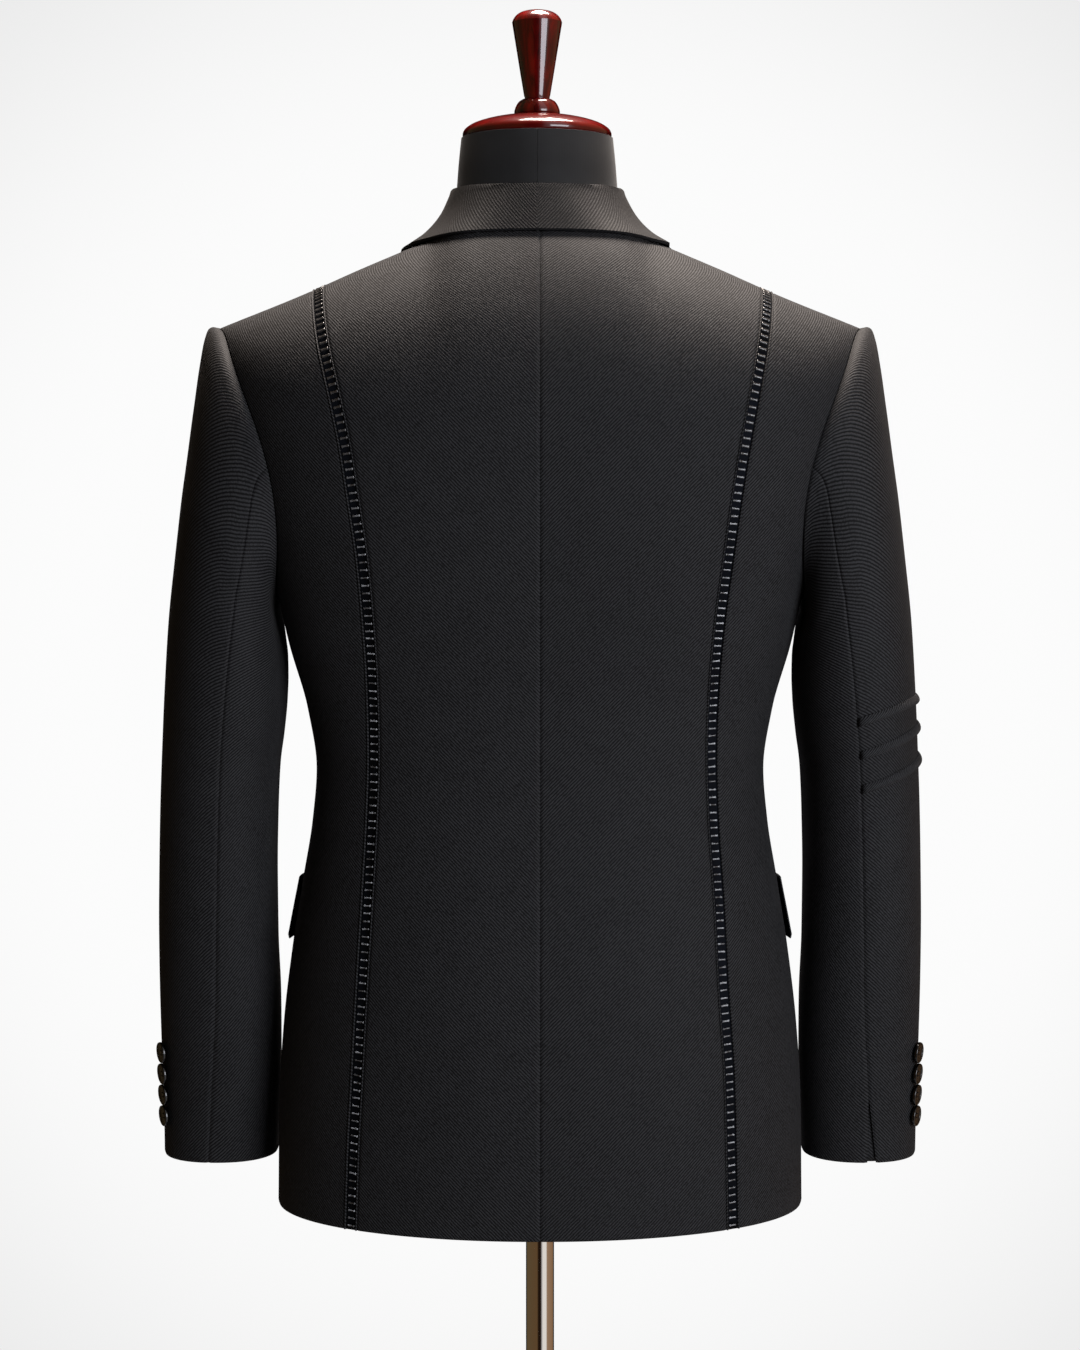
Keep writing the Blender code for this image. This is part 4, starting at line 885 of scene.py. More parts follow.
def laid_out(data, rows, cols):
    """Makes a grid and gives each vertex with its row and column, before it is moved."""
    bmesh.ops.create_grid(data, x_segments=cols - 1, y_segments=rows - 1, size=1.0)
    data.verts.index_update()
    for vert in data.verts:
        row = round((vert.co.y + 1) / 2 * (rows - 1))
        yield vert, row, round((vert.co.x + 1) / 2 * (cols - 1))


def write_flat(data, layer, flats):
    """Each vertex's place on the flat cloth, in metres, as the UV map."""
    for face in data.faces:
        for loop in face.loops:
            loop[layer].uv = flats[loop.vert.index]


def cloth_grid(places):
    """Fine grid on places[row][column] = (point, normal, flat), facing along the normals."""
    data = bmesh.new()
    layer = data.loops.layers.uv.new("flat")
    spot = {}
    for vert, row, col in laid_out(data, len(places), len(places[0])):
        spot[vert.index] = places[row][col]
        vert.co = raised(places[row][col][0])
    data.normal_update()
    write_flat(data, layer, {index: place[2] for index, place in spot.items()})
    if sum(face.normal.dot(spot[face.verts[0].index][1]) for face in data.faces) < 0:
        bmesh.ops.reverse_faces(data, faces=data.faces)
    return data


def closed(data, nearest):
    """Joins the grid's edges that meet and fills the holes that are left."""
    bmesh.ops.remove_doubles(data, verts=data.verts, dist=nearest)
    bmesh.ops.holes_fill(data, edges=[e for e in data.edges if e.is_boundary], sides=0)
    bmesh.ops.triangulate(data, faces=[f for f in data.faces if len(f.verts) > 4])
    bmesh.ops.recalc_face_normals(data, faces=data.faces)
    return data


def mirrored(places, side):
    if side > 0:
        return places
    return [[(Vector((-p.x, p.y, p.z)), Vector((-n.x, n.y, n.z)), flat) for p, n, flat in row]
            for row in places]


def cloth_piece(name, places, face, thick, side=1, inside=None):
    """A sheet of cloth with its thickness on the inner side, lined where inside is given."""
    data = cloth_grid(mirrored(places, side))
    finishes = [finish(face)] + ([finish(inside)] if inside else [])
    piece = on_scene(name, data, finishes)
    wall = piece.modifiers.new("thickness", "SOLIDIFY")
    wall.thickness = thick
    wall.offset = -1.0
    wall.use_even_offset = True
    wall.thickness_clamp = 1.0
    if inside:
        wall.material_offset = 1
    return piece


def declared(piece, cut, nodes):
    width, length, area = FLAT_CUTS[cut]
    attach(piece, "root")
    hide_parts(*nodes)


def settled(piece, slot, *nodes):
    """A rigid piece that stands for CAD nodes."""
    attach(piece, "root")
    if nodes:
        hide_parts(*nodes)


def edged(width, pitch, steps=EDGE_STEPS):
    """Columns from 0 to 1, close together near both edges of a piece this wide."""
    near = [step / width for step in steps]
    first, last = near[-1], 1.0 - near[-1]
    count = max(int((last - first) * width / pitch), 2)
    middle = list(np.linspace(first, last, count + 1))
    return near[:-1] + middle + [1.0 - x for x in reversed(near[:-1])]


def pressed(*distances):
    """How far the cloth sinks at these distances from its seams."""
    return sum(PRESS_DROP * (1.0 - ease(d / PRESS_WIDTH)) for d in distances)


def steps_between(first, last, pitch):
    count = max(int(round((last - first) / pitch)), 1)
    return list(np.linspace(first, last, count + 1))


def closer(rows, middle, reach):
    """The rows with eleven more in a short stretch, where an edge turns sharply."""
    more = np.linspace(middle - reach, min(middle + reach, rows[-1]), 11)
    return sorted({round(float(up), 6) for up in rows + list(more)})


def panel_rows(last, pitch):
    """Levels from the hem: close at the hem, regular up the back, closer on the shoulder."""
    rows = list(HEM_STEPS) + steps_between(0.006, 0.660, pitch)
    rows += steps_between(0.660, last, pitch * 0.45)[1:]
    return closer(rows, TIP_UP - TIP_BELOW, CORNER_REACH)


def closer_at_armpit(rows):
    top = ARMPIT_UP + ARMPIT_BAND
    return sorted([up for up in rows if not ARMPIT_UP <= up <= top]
                  + list(np.linspace(ARMPIT_UP, top, 22)))


def spun(profile, steps):
    """A profile of radius and height spun round the upright axis."""
    data = bmesh.new()
    chain = [data.verts.new((radius, 0.0, height)) for radius, height in profile]
    edges = [data.edges.new(pair) for pair in zip(chain, chain[1:])]
    bmesh.ops.spin(data, geom=chain + edges, axis=(0, 0, 1), cent=(0, 0, 0),
                   angle=2 * math.pi, steps=steps, use_merge=True)
    bmesh.ops.remove_doubles(data, verts=data.verts, dist=1e-6)
    bmesh.ops.recalc_face_normals(data, faces=data.faces)
    return data


def turned(name, profile, face, steps, place=Matrix(), smooth_angle=35.0):
    """A turned piece, put in place."""
    data = spun(profile, steps)
    bmesh.ops.transform(data, matrix=place, verts=data.verts)
    return on_scene(name, data, [finish(face)], smooth_angle)


def rounded(profile, first, last, count):
    """The profile with the points from first to last replaced by a smooth curve."""
    curved = [(p.x, p.y) for p in through(profile[first:last + 1], count)]
    return list(profile[:first]) + curved + list(profile[last + 1:])


# ---------------------------------------------------------------- body panels
def trim_share(up, side, offset):
    x = read(TRIM, "up", "left" if side > 0 else "right", up) + offset
    return max(share_at(x, up, True), RIDGE_SHARE)


@lru_cache(maxsize=None)
def trim_end(side, offset):
    """Level at which a line beside the trim meets the shoulder ridge."""
    low, high = TIP_UP, NECK_UP
    for _ in range(40):
        mid = (low + high) / 2
        if trim_share(mid, side, offset) > 1.5 * RIDGE_SHARE:
            low = mid
        else:
            high = mid
    return low


def panel_places(shares, rows, columns, sink=lambda point: 0.0, press=(True, True)):
    """Places of a body panel between the two shares that shares(up) gives."""
    places = []
    for up in rows:
        up = round(up, 6)
        first, last = shares(up)
        length = quarter(up, first >= 0)[3]
        row = []
        for t in columns:
            s = first + (last - first) * t
            point, normal = cloth_at(s, up)
            across = abs(last - first) * length
            drop = sink(point) + PRESS_DROP * (1.0 - ease(up / PRESS_WIDTH))
            drop += pressed(*[d for d, on in zip((t * across, (1 - t) * across), press) if on])
            row.append((point - normal * drop, normal, body_flat(s, up)))
        places.append(row)
    return places


def back_places(side, pitch):
    half = TRIM_WIDTH / 2
    rows = closer(panel_rows(NECK_UP, pitch), trim_end(side, -half) - CORNER_BELOW, CORNER_REACH)
    return panel_places(lambda up: (1.0, trim_share(up, side, -half)), rows,
                        edged(0.130, pitch))


def side_back_places(side, pitch):
    half = TRIM_WIDTH / 2

    def shares(up):
        edge = SIDE_SEAM
        if up > ARMPIT_UP:
            edge = max(armhole_at(up, True) - ARMHOLE_LAP / QUARTER, RIDGE_SHARE)
        if up < ARMHOLE_MID:
            edge = max(edge, SIDE_SEAM)
        first = trim_share(up, side, half)
        return first, min(edge, first - RIDGE_SHARE)

    rows = closer_at_armpit(panel_rows(trim_end(side, half), pitch))
    return panel_places(shares, rows, edged(0.080, pitch))


def underlap(side):
    if side > 0:
        return lambda point: 0.0
    return lambda point: UNDERLAP_DROP * ease((UNDERLAP_FROM - point.x) / UNDERLAP_EASE)


def front_places(side, pitch):
    def shares(up):
        edge = SIDE_SEAM
        if up > ARMPIT_UP:
            edge = min(armhole_at(up, False) + ARMHOLE_LAP / QUARTER, -RIDGE_SHARE)
        last = min(front_share(read(FRONT_EDGE, "up", "x", up), up), -3 * RIDGE_SHARE)
        return last, edge

    rows = closer_at_armpit(panel_rows(NECK_UP - 0.001, pitch))
    return panel_places(shares, rows, edged(0.25, pitch), underlap(side))


# ---------------------------------------------------------------- ladder trim
def trim_level(up, side, offset):
    """Level on one lengthwise line of the trim, in the row that is at this level in its
    middle: the rows turn so that the last one lies along the shoulder seam."""
    if up <= TRIM_TURN:
        return up
    part = (up - TRIM_TURN) / (trim_end(side, 0.0) - TRIM_TURN)
    return round(TRIM_TURN + (trim_end(side, offset) - TRIM_TURN) * part, 6)


def trim_at(up, side, offset):
    level_there = trim_level(up, side, offset)
    return cloth_at(trim_share(level_there, side, offset), level_there)


def trim_frame(up, side, offset=0.0):
    """Point, normal and the direction up the band on the trim's own line."""
    point, normal = trim_at(up, side, offset)
    step = 0.0008 if up + 0.0008 < trim_end(side, 0.0) else -0.0008
    ahead, _ = trim_at(up + step, side, offset)
    along = (ahead - point) * math.copysign(1.0, step)
    along = (along - normal * along.dot(normal)).normalized()
    return point, normal, along


def trim_path(side):
    """Levels along the trim with the length of band up to each."""
    top = trim_end(side, 0.0)
    ups = [round(u, 6) for u in steps_between(0.0, TRIM_TURN, 0.006)
           + steps_between(TRIM_TURN + TRIM_STEP, top, TRIM_STEP)]
    points = [body_point(trim_share(u, side, 0.0), u) for u in ups]
    along = np.concatenate(([0.0], np.cumsum([(q - p).length for p, q in zip(points, points[1:])])))
    return ups, along


def band_places(side):
    half = TRIM_WIDTH / 2
    ups, along = trim_path(side)
    places = []
    for up, length in zip(ups, along):
        row = []
        for t in np.linspace(-half, half, 7):
            point, normal = trim_at(up, side, float(t))
            hollow = TRIM_SUNK + TRIM_HOLLOW * (1 - (t / half) ** 2)
            row.append((point - normal * hollow, normal, (float(t), float(length))))
        places.append(row)
    return places


def rail_places(side, offset, width, rise):
    """Half round piping along one edge of the band."""
    ups, along = trim_path(side)
    places = []
    for up, length in zip(ups, along):
        row = []
        for angle in np.linspace(0.0, math.pi, 7):
            across = -math.cos(angle) * width / 2
            point, normal = trim_at(up, side, offset + across)
            fade = ease((along[-1] - length) / RAIL_TAPER)
            lift = rise * math.sin(angle) * fade - RAIL_SUNK - RAIL_DIVES * (1.0 - fade)
            row.append((point + normal * lift, normal, (across, float(length))))
        places.append(row)
    return places


def ladder_bars(side):
    """Short bars across the band, each a thin spindle with a bead at both ends."""
    noise.seed_set(BAR_SEED)
    ups, along = trim_path(side)
    half = [(r * RUNG_RADIUS, z * BAR_HALF) for r, z in BAR_HALF_PROFILE]
    bar = spun([(r, -z) for r, z in half[:0:-1]] + half, 8)
    template = bpy.data.meshes.new("bar")
    bar.to_mesh(template)
    bar.free()
    data = bmesh.new()
    low, high = PAINTED_SHINE_FADES
    last = along[-1] - RUNG_PITCH * 0.5
    for number, spot in enumerate(np.arange(RUNG_PITCH * 0.6, last, RUNG_PITCH)):
        wobble = noise.noise_vector(Vector((number * 3.7, side * 5.1, 0.3)))
        up = float(np.interp(spot + wobble.x * BAR_SLIP, along, ups))
        point, normal, up_band = trim_frame(round(up, 6), side, -BAR_IN)
        across = up_band.cross(normal).normalized()
        tilted = (across + up_band * wobble.y * BAR_TILT).normalized()
        turn = Matrix((tilted.cross(normal), normal, tilted)).transposed().to_4x4()
        thick = 1.0 + BAR_SWELL * ease((up - low) / (high - low))
        flat_bar = Matrix.Diagonal((BAR_FLAT[0] * thick, BAR_FLAT[1], 1.0, 1.0))
        place = raised(point - normal * RUNG_SINK)
        copy = template.copy()
        copy.transform(Matrix.Translation(place) @ turn @ flat_bar)
        data.from_mesh(copy)
        bpy.data.meshes.remove(copy)
    bpy.data.meshes.remove(template)
    if side < 0:
        bmesh.ops.scale(data, vec=(-1.0, 1.0, 1.0), verts=data.verts)
    bmesh.ops.recalc_face_normals(data, faces=data.faces)
    return data


# ---------------------------------------------------------------- sleeves
def slit(side, row):
    part = max(row - CUFF_SLIT_ROW, 0.0) / (SLEEVE_LAST - CUFF_SLIT_ROW)
    return math.degrees(CUFF_SLIT[side] / CUFF_RADIUS) * part


def roping(angle, row):
    """The sleeve head stands up in a soft roll next to the armhole."""
    upper = ease(math.cos(math.radians(angle)) * 0.9 + 0.35)
    return ROPE_RISE * upper * ease(row / 0.7) * (1.0 - ease((row - 0.7) / 1.6))


def sleeve_rows(pitch):
    rows = steps_between(2.15, 6.0, 0.16) + steps_between(6.1, 16.9, pitch / ROW_LENGTH)
    return list(SLEEVE_HEAD_ROWS) + rows + list(CUFF_ROWS) + [SLEEVE_LAST]


def vent_places(pitch):
    """Underlap behind the open end of the elbow seam."""
    places = []
    for row in steps_between(VENT_ROW, SLEEVE_LAST - 0.012, pitch / ROW_LENGTH):
        row = round(row, 5)
        out = []
        for turn in np.linspace(-VENT_ANGLE, VENT_ANGLE, 9):
            angle = elbow_angle(row) + float(turn)
            normal = sleeve_normal(angle, row)
            point = sleeve_point(angle, row) - normal * VENT_DEPTH
            out.append((point, normal, sleeve_flat(angle, row)))
        places.append(out)
    return places


def sleeve_places(first, last, rows, width, pitch):
    places = []
    for row in rows:
        row = round(row, 5)
        start, end = first(row), last(row)
        metres = sleeve_girth(row) / 360
        out = []
        for t in edged(width, pitch):
            angle = start + (end - start) * t
            normal = sleeve_normal(angle, row)
            point = rippled(sleeve_point(angle, row), normal)
            across = abs(end - start) * metres
            drop = pressed(t * across, (1 - t) * across)
            drop += PRESS_DROP * (1.0 - ease((row - 0.06) / 0.25))
            drop += PRESS_DROP * (1.0 - ease((SLEEVE_LAST - row) / 0.05))
            out.append((point + normal * (roping(angle, row) - drop), normal,
                        sleeve_flat(angle, row)))
        places.append(out)
    return places


def welt_places(at_elbow, at_outer, at_front):
    places = []
    first = elbow_angle(at_elbow) - 1.0
    for part in np.linspace(0.0, 1.0, 60):
        angle = float(first + (FRONT_SEAM_ANGLE - 359.0 - first) * part)
        if angle >= 0:
            row = at_outer + (at_elbow - at_outer) * (angle / first) ** 1.3
        else:
            row = at_outer + (at_front - at_outer) * (angle / (FRONT_SEAM_ANGLE - 360)) ** 1.3
        normal = sleeve_normal(angle, row)
        middle = rippled(sleeve_point(angle, row), normal)
        down = (sleeve_point(angle, row + 0.1) - middle).normalized()
        down = (down - normal * down.dot(normal)).normalized()
        ends = ease(min(part, 1.0 - part) / WELT_ENDS)
        flat_row = round(row, 5)
        out = []
        for turn in np.linspace(0.0, math.pi, 11):
            off = -math.cos(turn) * WELT_SPREAD / 2
            over = math.pi * (turn / math.pi) ** WELT_LEAN
            lift = WELT_RISE * (max(math.sin(over), 0.0) ** 0.8) * (0.6 + 0.4 * ends)
            flat = (angle / 360 * sleeve_girth(flat_row), -sleeve_drop(flat_row) + off * WELT_ARC)
            out.append((middle + normal * lift + down * off, normal, flat))
        places.append(out)
    return places


# ---------------------------------------------------------------- collar, lapels, flaps
def collar_section(row, side):
    """Closed outline of the collar at one place: stand, roll, fall and back under."""
    turn = math.radians(row["turn"])
    out = Vector((math.sin(turn), math.cos(turn), 0.0))
    if row["turn"] > 90:
        edge_x = read(FRONT_EDGE, "up", "x", row["seam_up"])
        seam_s = front_share(edge_x, row["seam_up"]) - COLLAR_SEAM_IN
    else:
        seam_s = read(COLLAR_SEAM, "turn", "s", row["turn"])
    seam = body_point(seam_s, row["seam_up"])
    away = Vector((seam.x, seam.y, 0.0)).normalized()
    none, full = COLLAR_X_TURNS
    lean = side * COLLAR_X * ease((none - row["turn"]) / (none - full))
    roll = out * row["roll_r"] + Vector((lean, 0, row["roll_up"]))
    edge_x = row["edge_x"] + lean
    if row["turn"] > 90:
        edge_s = -share_at(edge_x, row["edge_up"], False)
    else:
        edge_s = share_at(edge_x, row["edge_up"], True)
    edge_normal = body_normal(edge_s, row["edge_up"])
    edge = body_point(edge_s, row["edge_up"]) + edge_normal * (COLLAR_CLOTH + COLLAR_GAP)
    shoulder = roll + out * (2 * COLLAR_ROLL) - Vector((0, 0, COLLAR_FALL))
    down = (edge - shoulder).normalized()
    across = (edge_normal - down * edge_normal.dot(down)).normalized()
    fall = [shoulder.lerp(edge, t) + across * row["bulge"] * 4 * t * (1 - t)
            for t in (0.0, 0.34, 0.67, 1.0)]
    inner = [point - across * COLLAR_CLOTH for point in fall]
    inner[-1] = edge - edge_normal * COLLAR_CLOTH
    stand_in = seam - away * COLLAR_CLOTH
    inside_top = roll - Vector((0, 0, COLLAR_STAND))
    tuck = out * max(-row["bulge"] * 0.7, 0.0)
    face = [stand_in, stand_in.lerp(inside_top, 0.5) - tuck, inside_top,
            roll + out * COLLAR_ROLL * 0.7 - Vector((0, 0, COLLAR_CROWN[0])),
            roll + out * COLLAR_ROLL * 1.5 - Vector((0, 0, COLLAR_CROWN[1]))] + fall
    behind, below = COLLAR_FOLD
    under = [inner[3], inner[2], inner[1],
             roll + out * (COLLAR_CLOTH + behind) - Vector((0, 0, below)),
             (seam + roll + out * COLLAR_CLOTH - Vector((0, 0, below))) / 2 - tuck, seam]
    return through(face, 34), through(under, 22)


def collar_mesh():
    """The collar as one closed roll of cloth, with its two ends filled."""
    turns = [turn for span in COLLAR_TURNS for turn in steps_between(*span)]
    sections = []
    for side, chosen in ((-1, turns[:0:-1]), (1, turns)):
        for turn in chosen:
            row = dict((name, read(COLLAR, "turn", name, turn)) for name in COLLAR[0])
            face, under = collar_section(row, side)
            sections.append([Vector((p.x * side, p.y, p.z)) for p in face + under + [face[0]]])
    rows, cols = len(sections), len(sections[0])
    middle, fall = rows // 2, 30
    along, down = [0.0], [0.0]
    for here, there in zip(sections, sections[1:]):
        along.append(along[-1] + (there[fall] - here[fall]).length)
    for here, there in zip(sections[middle], sections[middle][1:]):
        down.append(down[-1] + (there - here).length)
    data = bmesh.new()
    layer = data.loops.layers.uv.new("flat")
    flats = {}
    for vert, row, col in laid_out(data, rows, cols):
        flats[vert.index] = (abs(along[row] - along[middle]), -down[col])
        vert.co = raised(sections[row][col])
    write_flat(data, layer, flats)
    return closed(data, 2e-5)


def lapel_places(side, pitch):
    sink = underlap(side)
    places = []
    columns = edged(0.085, pitch)
    for roll_up in steps_between(LAPEL_START[side], LAPEL_TOP_UP, pitch):
        edge_x = read(LAPEL, "roll_up", "edge_x", roll_up)
        edge_up = read(LAPEL, "roll_up", "edge_up", roll_up)
        dip_most = read(LAPEL, "roll_up", "dip", roll_up)
        roll_x = read(FRONT_EDGE, "up", "x", roll_up) + LAPEL_OFF_EDGE
        if side < 0:
            roll_x = max(roll_x, LAPEL_CENTRE - roll_x)
        width = max(edge_x - roll_x, LAPEL_LEAST)
        row = []
        for col in columns:
            dip = dip_most * (1.0 - abs(2.0 * col - 1.0))
            x = roll_x + (edge_x - roll_x) * col
            up = roll_up + (edge_up - roll_up) * col - dip
            s = front_share(x, up)
            point, normal = cloth_at(s, up)
            full = (1.0 - ease(col * width / LAPEL_ROLL_WIDTH)) * ease(width / LAPEL_FULL_WIDTH)
            lift = LAPEL_CLOTH + LIE_GAP + LAPEL_SWELL * math.sin(math.pi * col)
            lift += LAPEL_ROLL * full
            lift -= pressed((1.0 - col) * width, col * width + 0.0006)
            row.append((point + normal * (lift - sink(point)), normal, (x - roll_x, up)))
        places.append(row)
    return places


def flap_places(pitch):
    places = []
    columns = edged(FLAP_WIDTH, pitch)
    wide, high = FLAP_CORNER
    for up in list(FLAP_STEPS) + steps_between(0.208, FLAP_TOP_UP, pitch):
        row = []
        for col in columns:
            s = FLAP_FROM + (FLAP_TO - FLAP_FROM) * col
            hang = (FLAP_TOP_UP - up) / (FLAP_TOP_UP - FLAP_BOTTOM_UP)
            corner = min(col, 1.0 - col) * FLAP_WIDTH
            rounding = (1.0 - ease(corner / wide)) * ease((high + FLAP_BOTTOM_UP - up) / high)
            point, normal = cloth_at(s, round(up + FLAP_CORNER_RISE * rounding, 6))
            lift = FLAP_CLOTH + LIE_GAP + FLAP_FLARE * hang
            drop = pressed(corner, up - FLAP_BOTTOM_UP)
            row.append((point + normal * (lift - drop), normal, body_flat(s, round(up, 6))))
        places.append(row)
    return places


# ---------------------------------------------------------------- buttons
def sleeve_row_at(up):
    ups = column(SLEEVE, "outer_up")[::-1]
    rows = np.arange(SLEEVE_LAST + 1.0)[::-1]
    return cubic(ups, rows, slopes(ups, rows), up)


def button_piece(name, point, normal, radius, side=1):
    """A turned button with a raised rim and four holes, sewn on with two bars of thread. The holes
    are shallow cones in a near-black finish: painted shade standing for their depth.
    """
    normal = Vector((normal.x * side, normal.y, normal.z))
    place = raised(Vector((point.x * side, point.y, point.z)) + normal * BUTTON_SEAT)
    frame_matrix = Matrix.Translation(place) @ normal.to_track_quat("Z", "Y").to_matrix().to_4x4()
    profile = [(r * radius, h * BUTTON_THICK) for r, h in BUTTON_PROFILE]
    data = spun(rounded(profile, 1, 16, 56), 48)
    dish = BUTTON_DISH * BUTTON_THICK
    off = radius * BUTTON_HOLE_OFF
    foot, mouth = (radius * share for share in BUTTON_HOLE)

    def set_in(finish_number, **cone):
        made = bmesh.ops.create_cone(data, cap_ends=True, **cone)
        for face in {f for v in made["verts"] for f in v.link_faces}:
            face.material_index = finish_number

    # The four holes: shallow cones with painted shade in them
    for x, y in ((1, 1), (1, -1), (-1, 1), (-1, -1)):
        set_in(1, segments=12, radius1=foot, radius2=mouth, depth=BUTTON_HOLE_DEEP,
               matrix=Matrix.Translation((x * off, y * off, dish)))
    for y in (1, -1):
        set_in(2, segments=8, radius1=THREAD_RADIUS, radius2=THREAD_RADIUS,
               depth=radius * THREAD_LONG,
               matrix=Matrix.Translation((0, y * off, dish + THREAD_RISE))
               @ Matrix.Rotation(math.radians(90), 4, "Y"))
    bmesh.ops.transform(data, matrix=frame_matrix, verts=data.verts)
    return on_scene(name, data, [finish("horn"), finish("pit"), finish("satin")], 40.0)


# ---------------------------------------------------------------- dress form
def form_size(up):
    return dict((name, read(FORM, "up", name, up)) for name in FORM[0])


def form_mesh():
    """The form's torso and neck in one skin, with a seam down the back and the front."""
    half = [1.0, 0.9965, 0.985] + list(np.linspace(0.96, 0.04, 22)) + [0.0]
    shares = half + [-s for s in half[-2::-1]]
    rings = []
    for up in steps_between(FORM_FOOT_UP, FORM_CHEST_UP, 0.012):
        size = form_size(up)
        rings.append([on_outline(lambda behind: with_share(*size_curve(size, behind)), s, up)
                      for s in shares])
    for up in steps_between(FORM_NECK_UP, NECK_UP, 0.004):
        up = round(up, 6)
        ring = [body_point(s, up) - body_normal(s, up)
                * (CLOTH + FORM_UNDER + FORM_SINK * ease(abs(s) / 0.3)) for s in shares]
        for point in ring:
            flare = read(NECK, "up", "radius", up) / math.hypot(point.x, point.y)
            point.xy *= max(flare, 1.0)
        rings.append(ring)
    for up in steps_between(0.7475, NECK_TOP_UP, 0.004):
        radius = read(NECK, "up", "radius", up)
        turns = [s * math.pi / 2 for s in shares]
        rings.append([Vector((radius * math.cos(turn), radius * math.sin(turn), up))
                      for turn in turns])
    edge = NECK_EDGE / read(NECK, "up", "radius", NECK_TOP_UP)
    rings.append([p * (1 - edge) + Vector((0, 0, edge * p.z + NECK_EDGE_RISE))
                  for p in rings[-1]])
    for ring in rings:
        for share, point in zip(shares, ring):
            if abs(share) > 0.999:
                point -= Vector((point.x, point.y, 0.0)).normalized() * FORM_SEAM
    whole = [ring + [Vector((-p.x, p.y, p.z)) for p in ring[-2:0:-1]] + [ring[0].copy()]
             for ring in rings]
    for ring in whole:
        for point in ring:
            point.x += NECK_X * ease((point.z - NECK_UP) / (NECK_TOP_UP - NECK_UP) * 2)
    data = bmesh.new()
    for vert, row, col in laid_out(data, len(whole), len(whole[0])):
        vert.co = raised(whole[row][col])
    return closed(data, 1e-5)


# ---------------------------------------------------------------- the add-on
class TailorLook(bpy.types.PropertyGroup):
    """Colours and sizes that a user would change."""
    cloth_dark: bpy.props.StringProperty(
        name="Cloth, shade", description="sRGB hex of the twill's dark threads", default="#050506")
    # The rib colour is the twill's painted sheen, over its black threads
    cloth_light: bpy.props.StringProperty(
        name="Cloth, rib", description="sRGB hex of the twill's ribs", default="#323233")
    twill_pitch: bpy.props.FloatProperty(
        name="Rib spacing", description="Distance between the twill's ribs in millimetres",
        default=1.9, min=0.4, max=6.0)
    satin: bpy.props.StringProperty(
        name="Satin", description="sRGB hex of the facing and trim", default="#09090a")
    lacquer: bpy.props.StringProperty(
        name="Lacquer", description="sRGB hex of the neck cap's light grain", default="#660402")
    lacquer_dark: bpy.props.StringProperty(
        name="Lacquer, grain", description="sRGB hex of the neck cap's dark grain",
        default="#150000")
    cloth_pitch: bpy.props.FloatProperty(
        name="Mesh spacing", description="Distance between the cloth's mesh rows",
        default=0.0045, min=0.002, max=0.02, unit="LENGTH")


def look():
    return bpy.context.scene.tailor_look


def spacing():
    return look().cloth_pitch * 1.0


class TAILOR_OT_cloths(bpy.types.Operator):
    """Make the jacket's and the form's finishes"""
    bl_idname = "tailor.cloths"
    bl_label = "Cloths and Finishes"

    def execute(self, context):
        make_finishes(look())
        return {"FINISHED"}


class TAILOR_OT_back(bpy.types.Operator):
    """Lay the centre back and side back panels"""
    bl_idname = "tailor.back"
    bl_label = "Back Panels"

    def execute(self, context):
        for word, side in SIDES:
            piece = cloth_piece("cloth_back_" + word, back_places(side, spacing()), "twill", CLOTH,
                                side, "lining")
            declared(piece, "back", ["back_" + word])
            piece = cloth_piece("cloth_side_back_" + word, side_back_places(side, spacing()),
                                "twill", CLOTH, side, "lining")
            declared(piece, "side_back", ["side_back_" + word])
        return {"FINISHED"}


class TAILOR_OT_fronts(bpy.types.Operator):
    """Lay the two fronts, the left one over the right one"""
    bl_idname = "tailor.fronts"
    bl_label = "Fronts"

    def execute(self, context):
        for word, side in SIDES:
            piece = cloth_piece("cloth_front_" + word, front_places(side, spacing()), "twill",
                                CLOTH, side, "lining")
            declared(piece, "front", ["front_" + word])
        return {"FINISHED"}


class TAILOR_OT_trim(bpy.types.Operator):
    """Set in the two satin bands with their piping and ladder bars"""
    bl_idname = "tailor.trim"
    bl_label = "Ladder Trim"

    def execute(self, context):
        for word, side in SIDES:
            bars = on_scene("ladder_bars_" + word, ladder_bars(side), [finish("cord")], 60.0)
            settled(bars, "satin")
            for place, offset, width, rise in (OUTER_RAIL, INNER_RAIL):
                data = cloth_grid(mirrored(rail_places(side, offset, width, rise), side))
                rail = on_scene("piping_%s_%s" % (place, word), data, [finish("twill")])
                settled(rail, "twill")
            band = cloth_piece("cloth_trim_" + word, band_places(side), "band", TRIM_CLOTH, side)
            declared(band, "trim", ["trim_" + word])
        return {"FINISHED"}


class TAILOR_OT_sleeves(bpy.types.Operator):
    """Set in the top and under sleeves"""
    bl_idname = "tailor.sleeves"
    bl_label = "Sleeves"

    def execute(self, context):
        rows = sleeve_rows(spacing())
        for word, side in SIDES:
            top = sleeve_places(lambda row: FRONT_SEAM_ANGLE - 360,
                                lambda row: elbow_angle(row) - slit(side, row),
                                rows, 0.19, spacing())
            under = sleeve_places(lambda row: elbow_angle(row) + slit(side, row),
                                  lambda row: FRONT_SEAM_ANGLE, rows, 0.15, spacing())
            vent = cloth_piece("cloth_cuff_vent_" + word, vent_places(spacing()), "twill",
                               VENT_CLOTH, side)
            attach(vent, "root")
            for kind, places in (("top_sleeve", top), ("under_sleeve", under)):
                piece = cloth_piece("cloth_%s_%s" % (kind, word), places, "twill", CLOTH, side,
                                    "lining")
                declared(piece, kind, ["%s_%s" % (kind, word)])
        return {"FINISHED"}


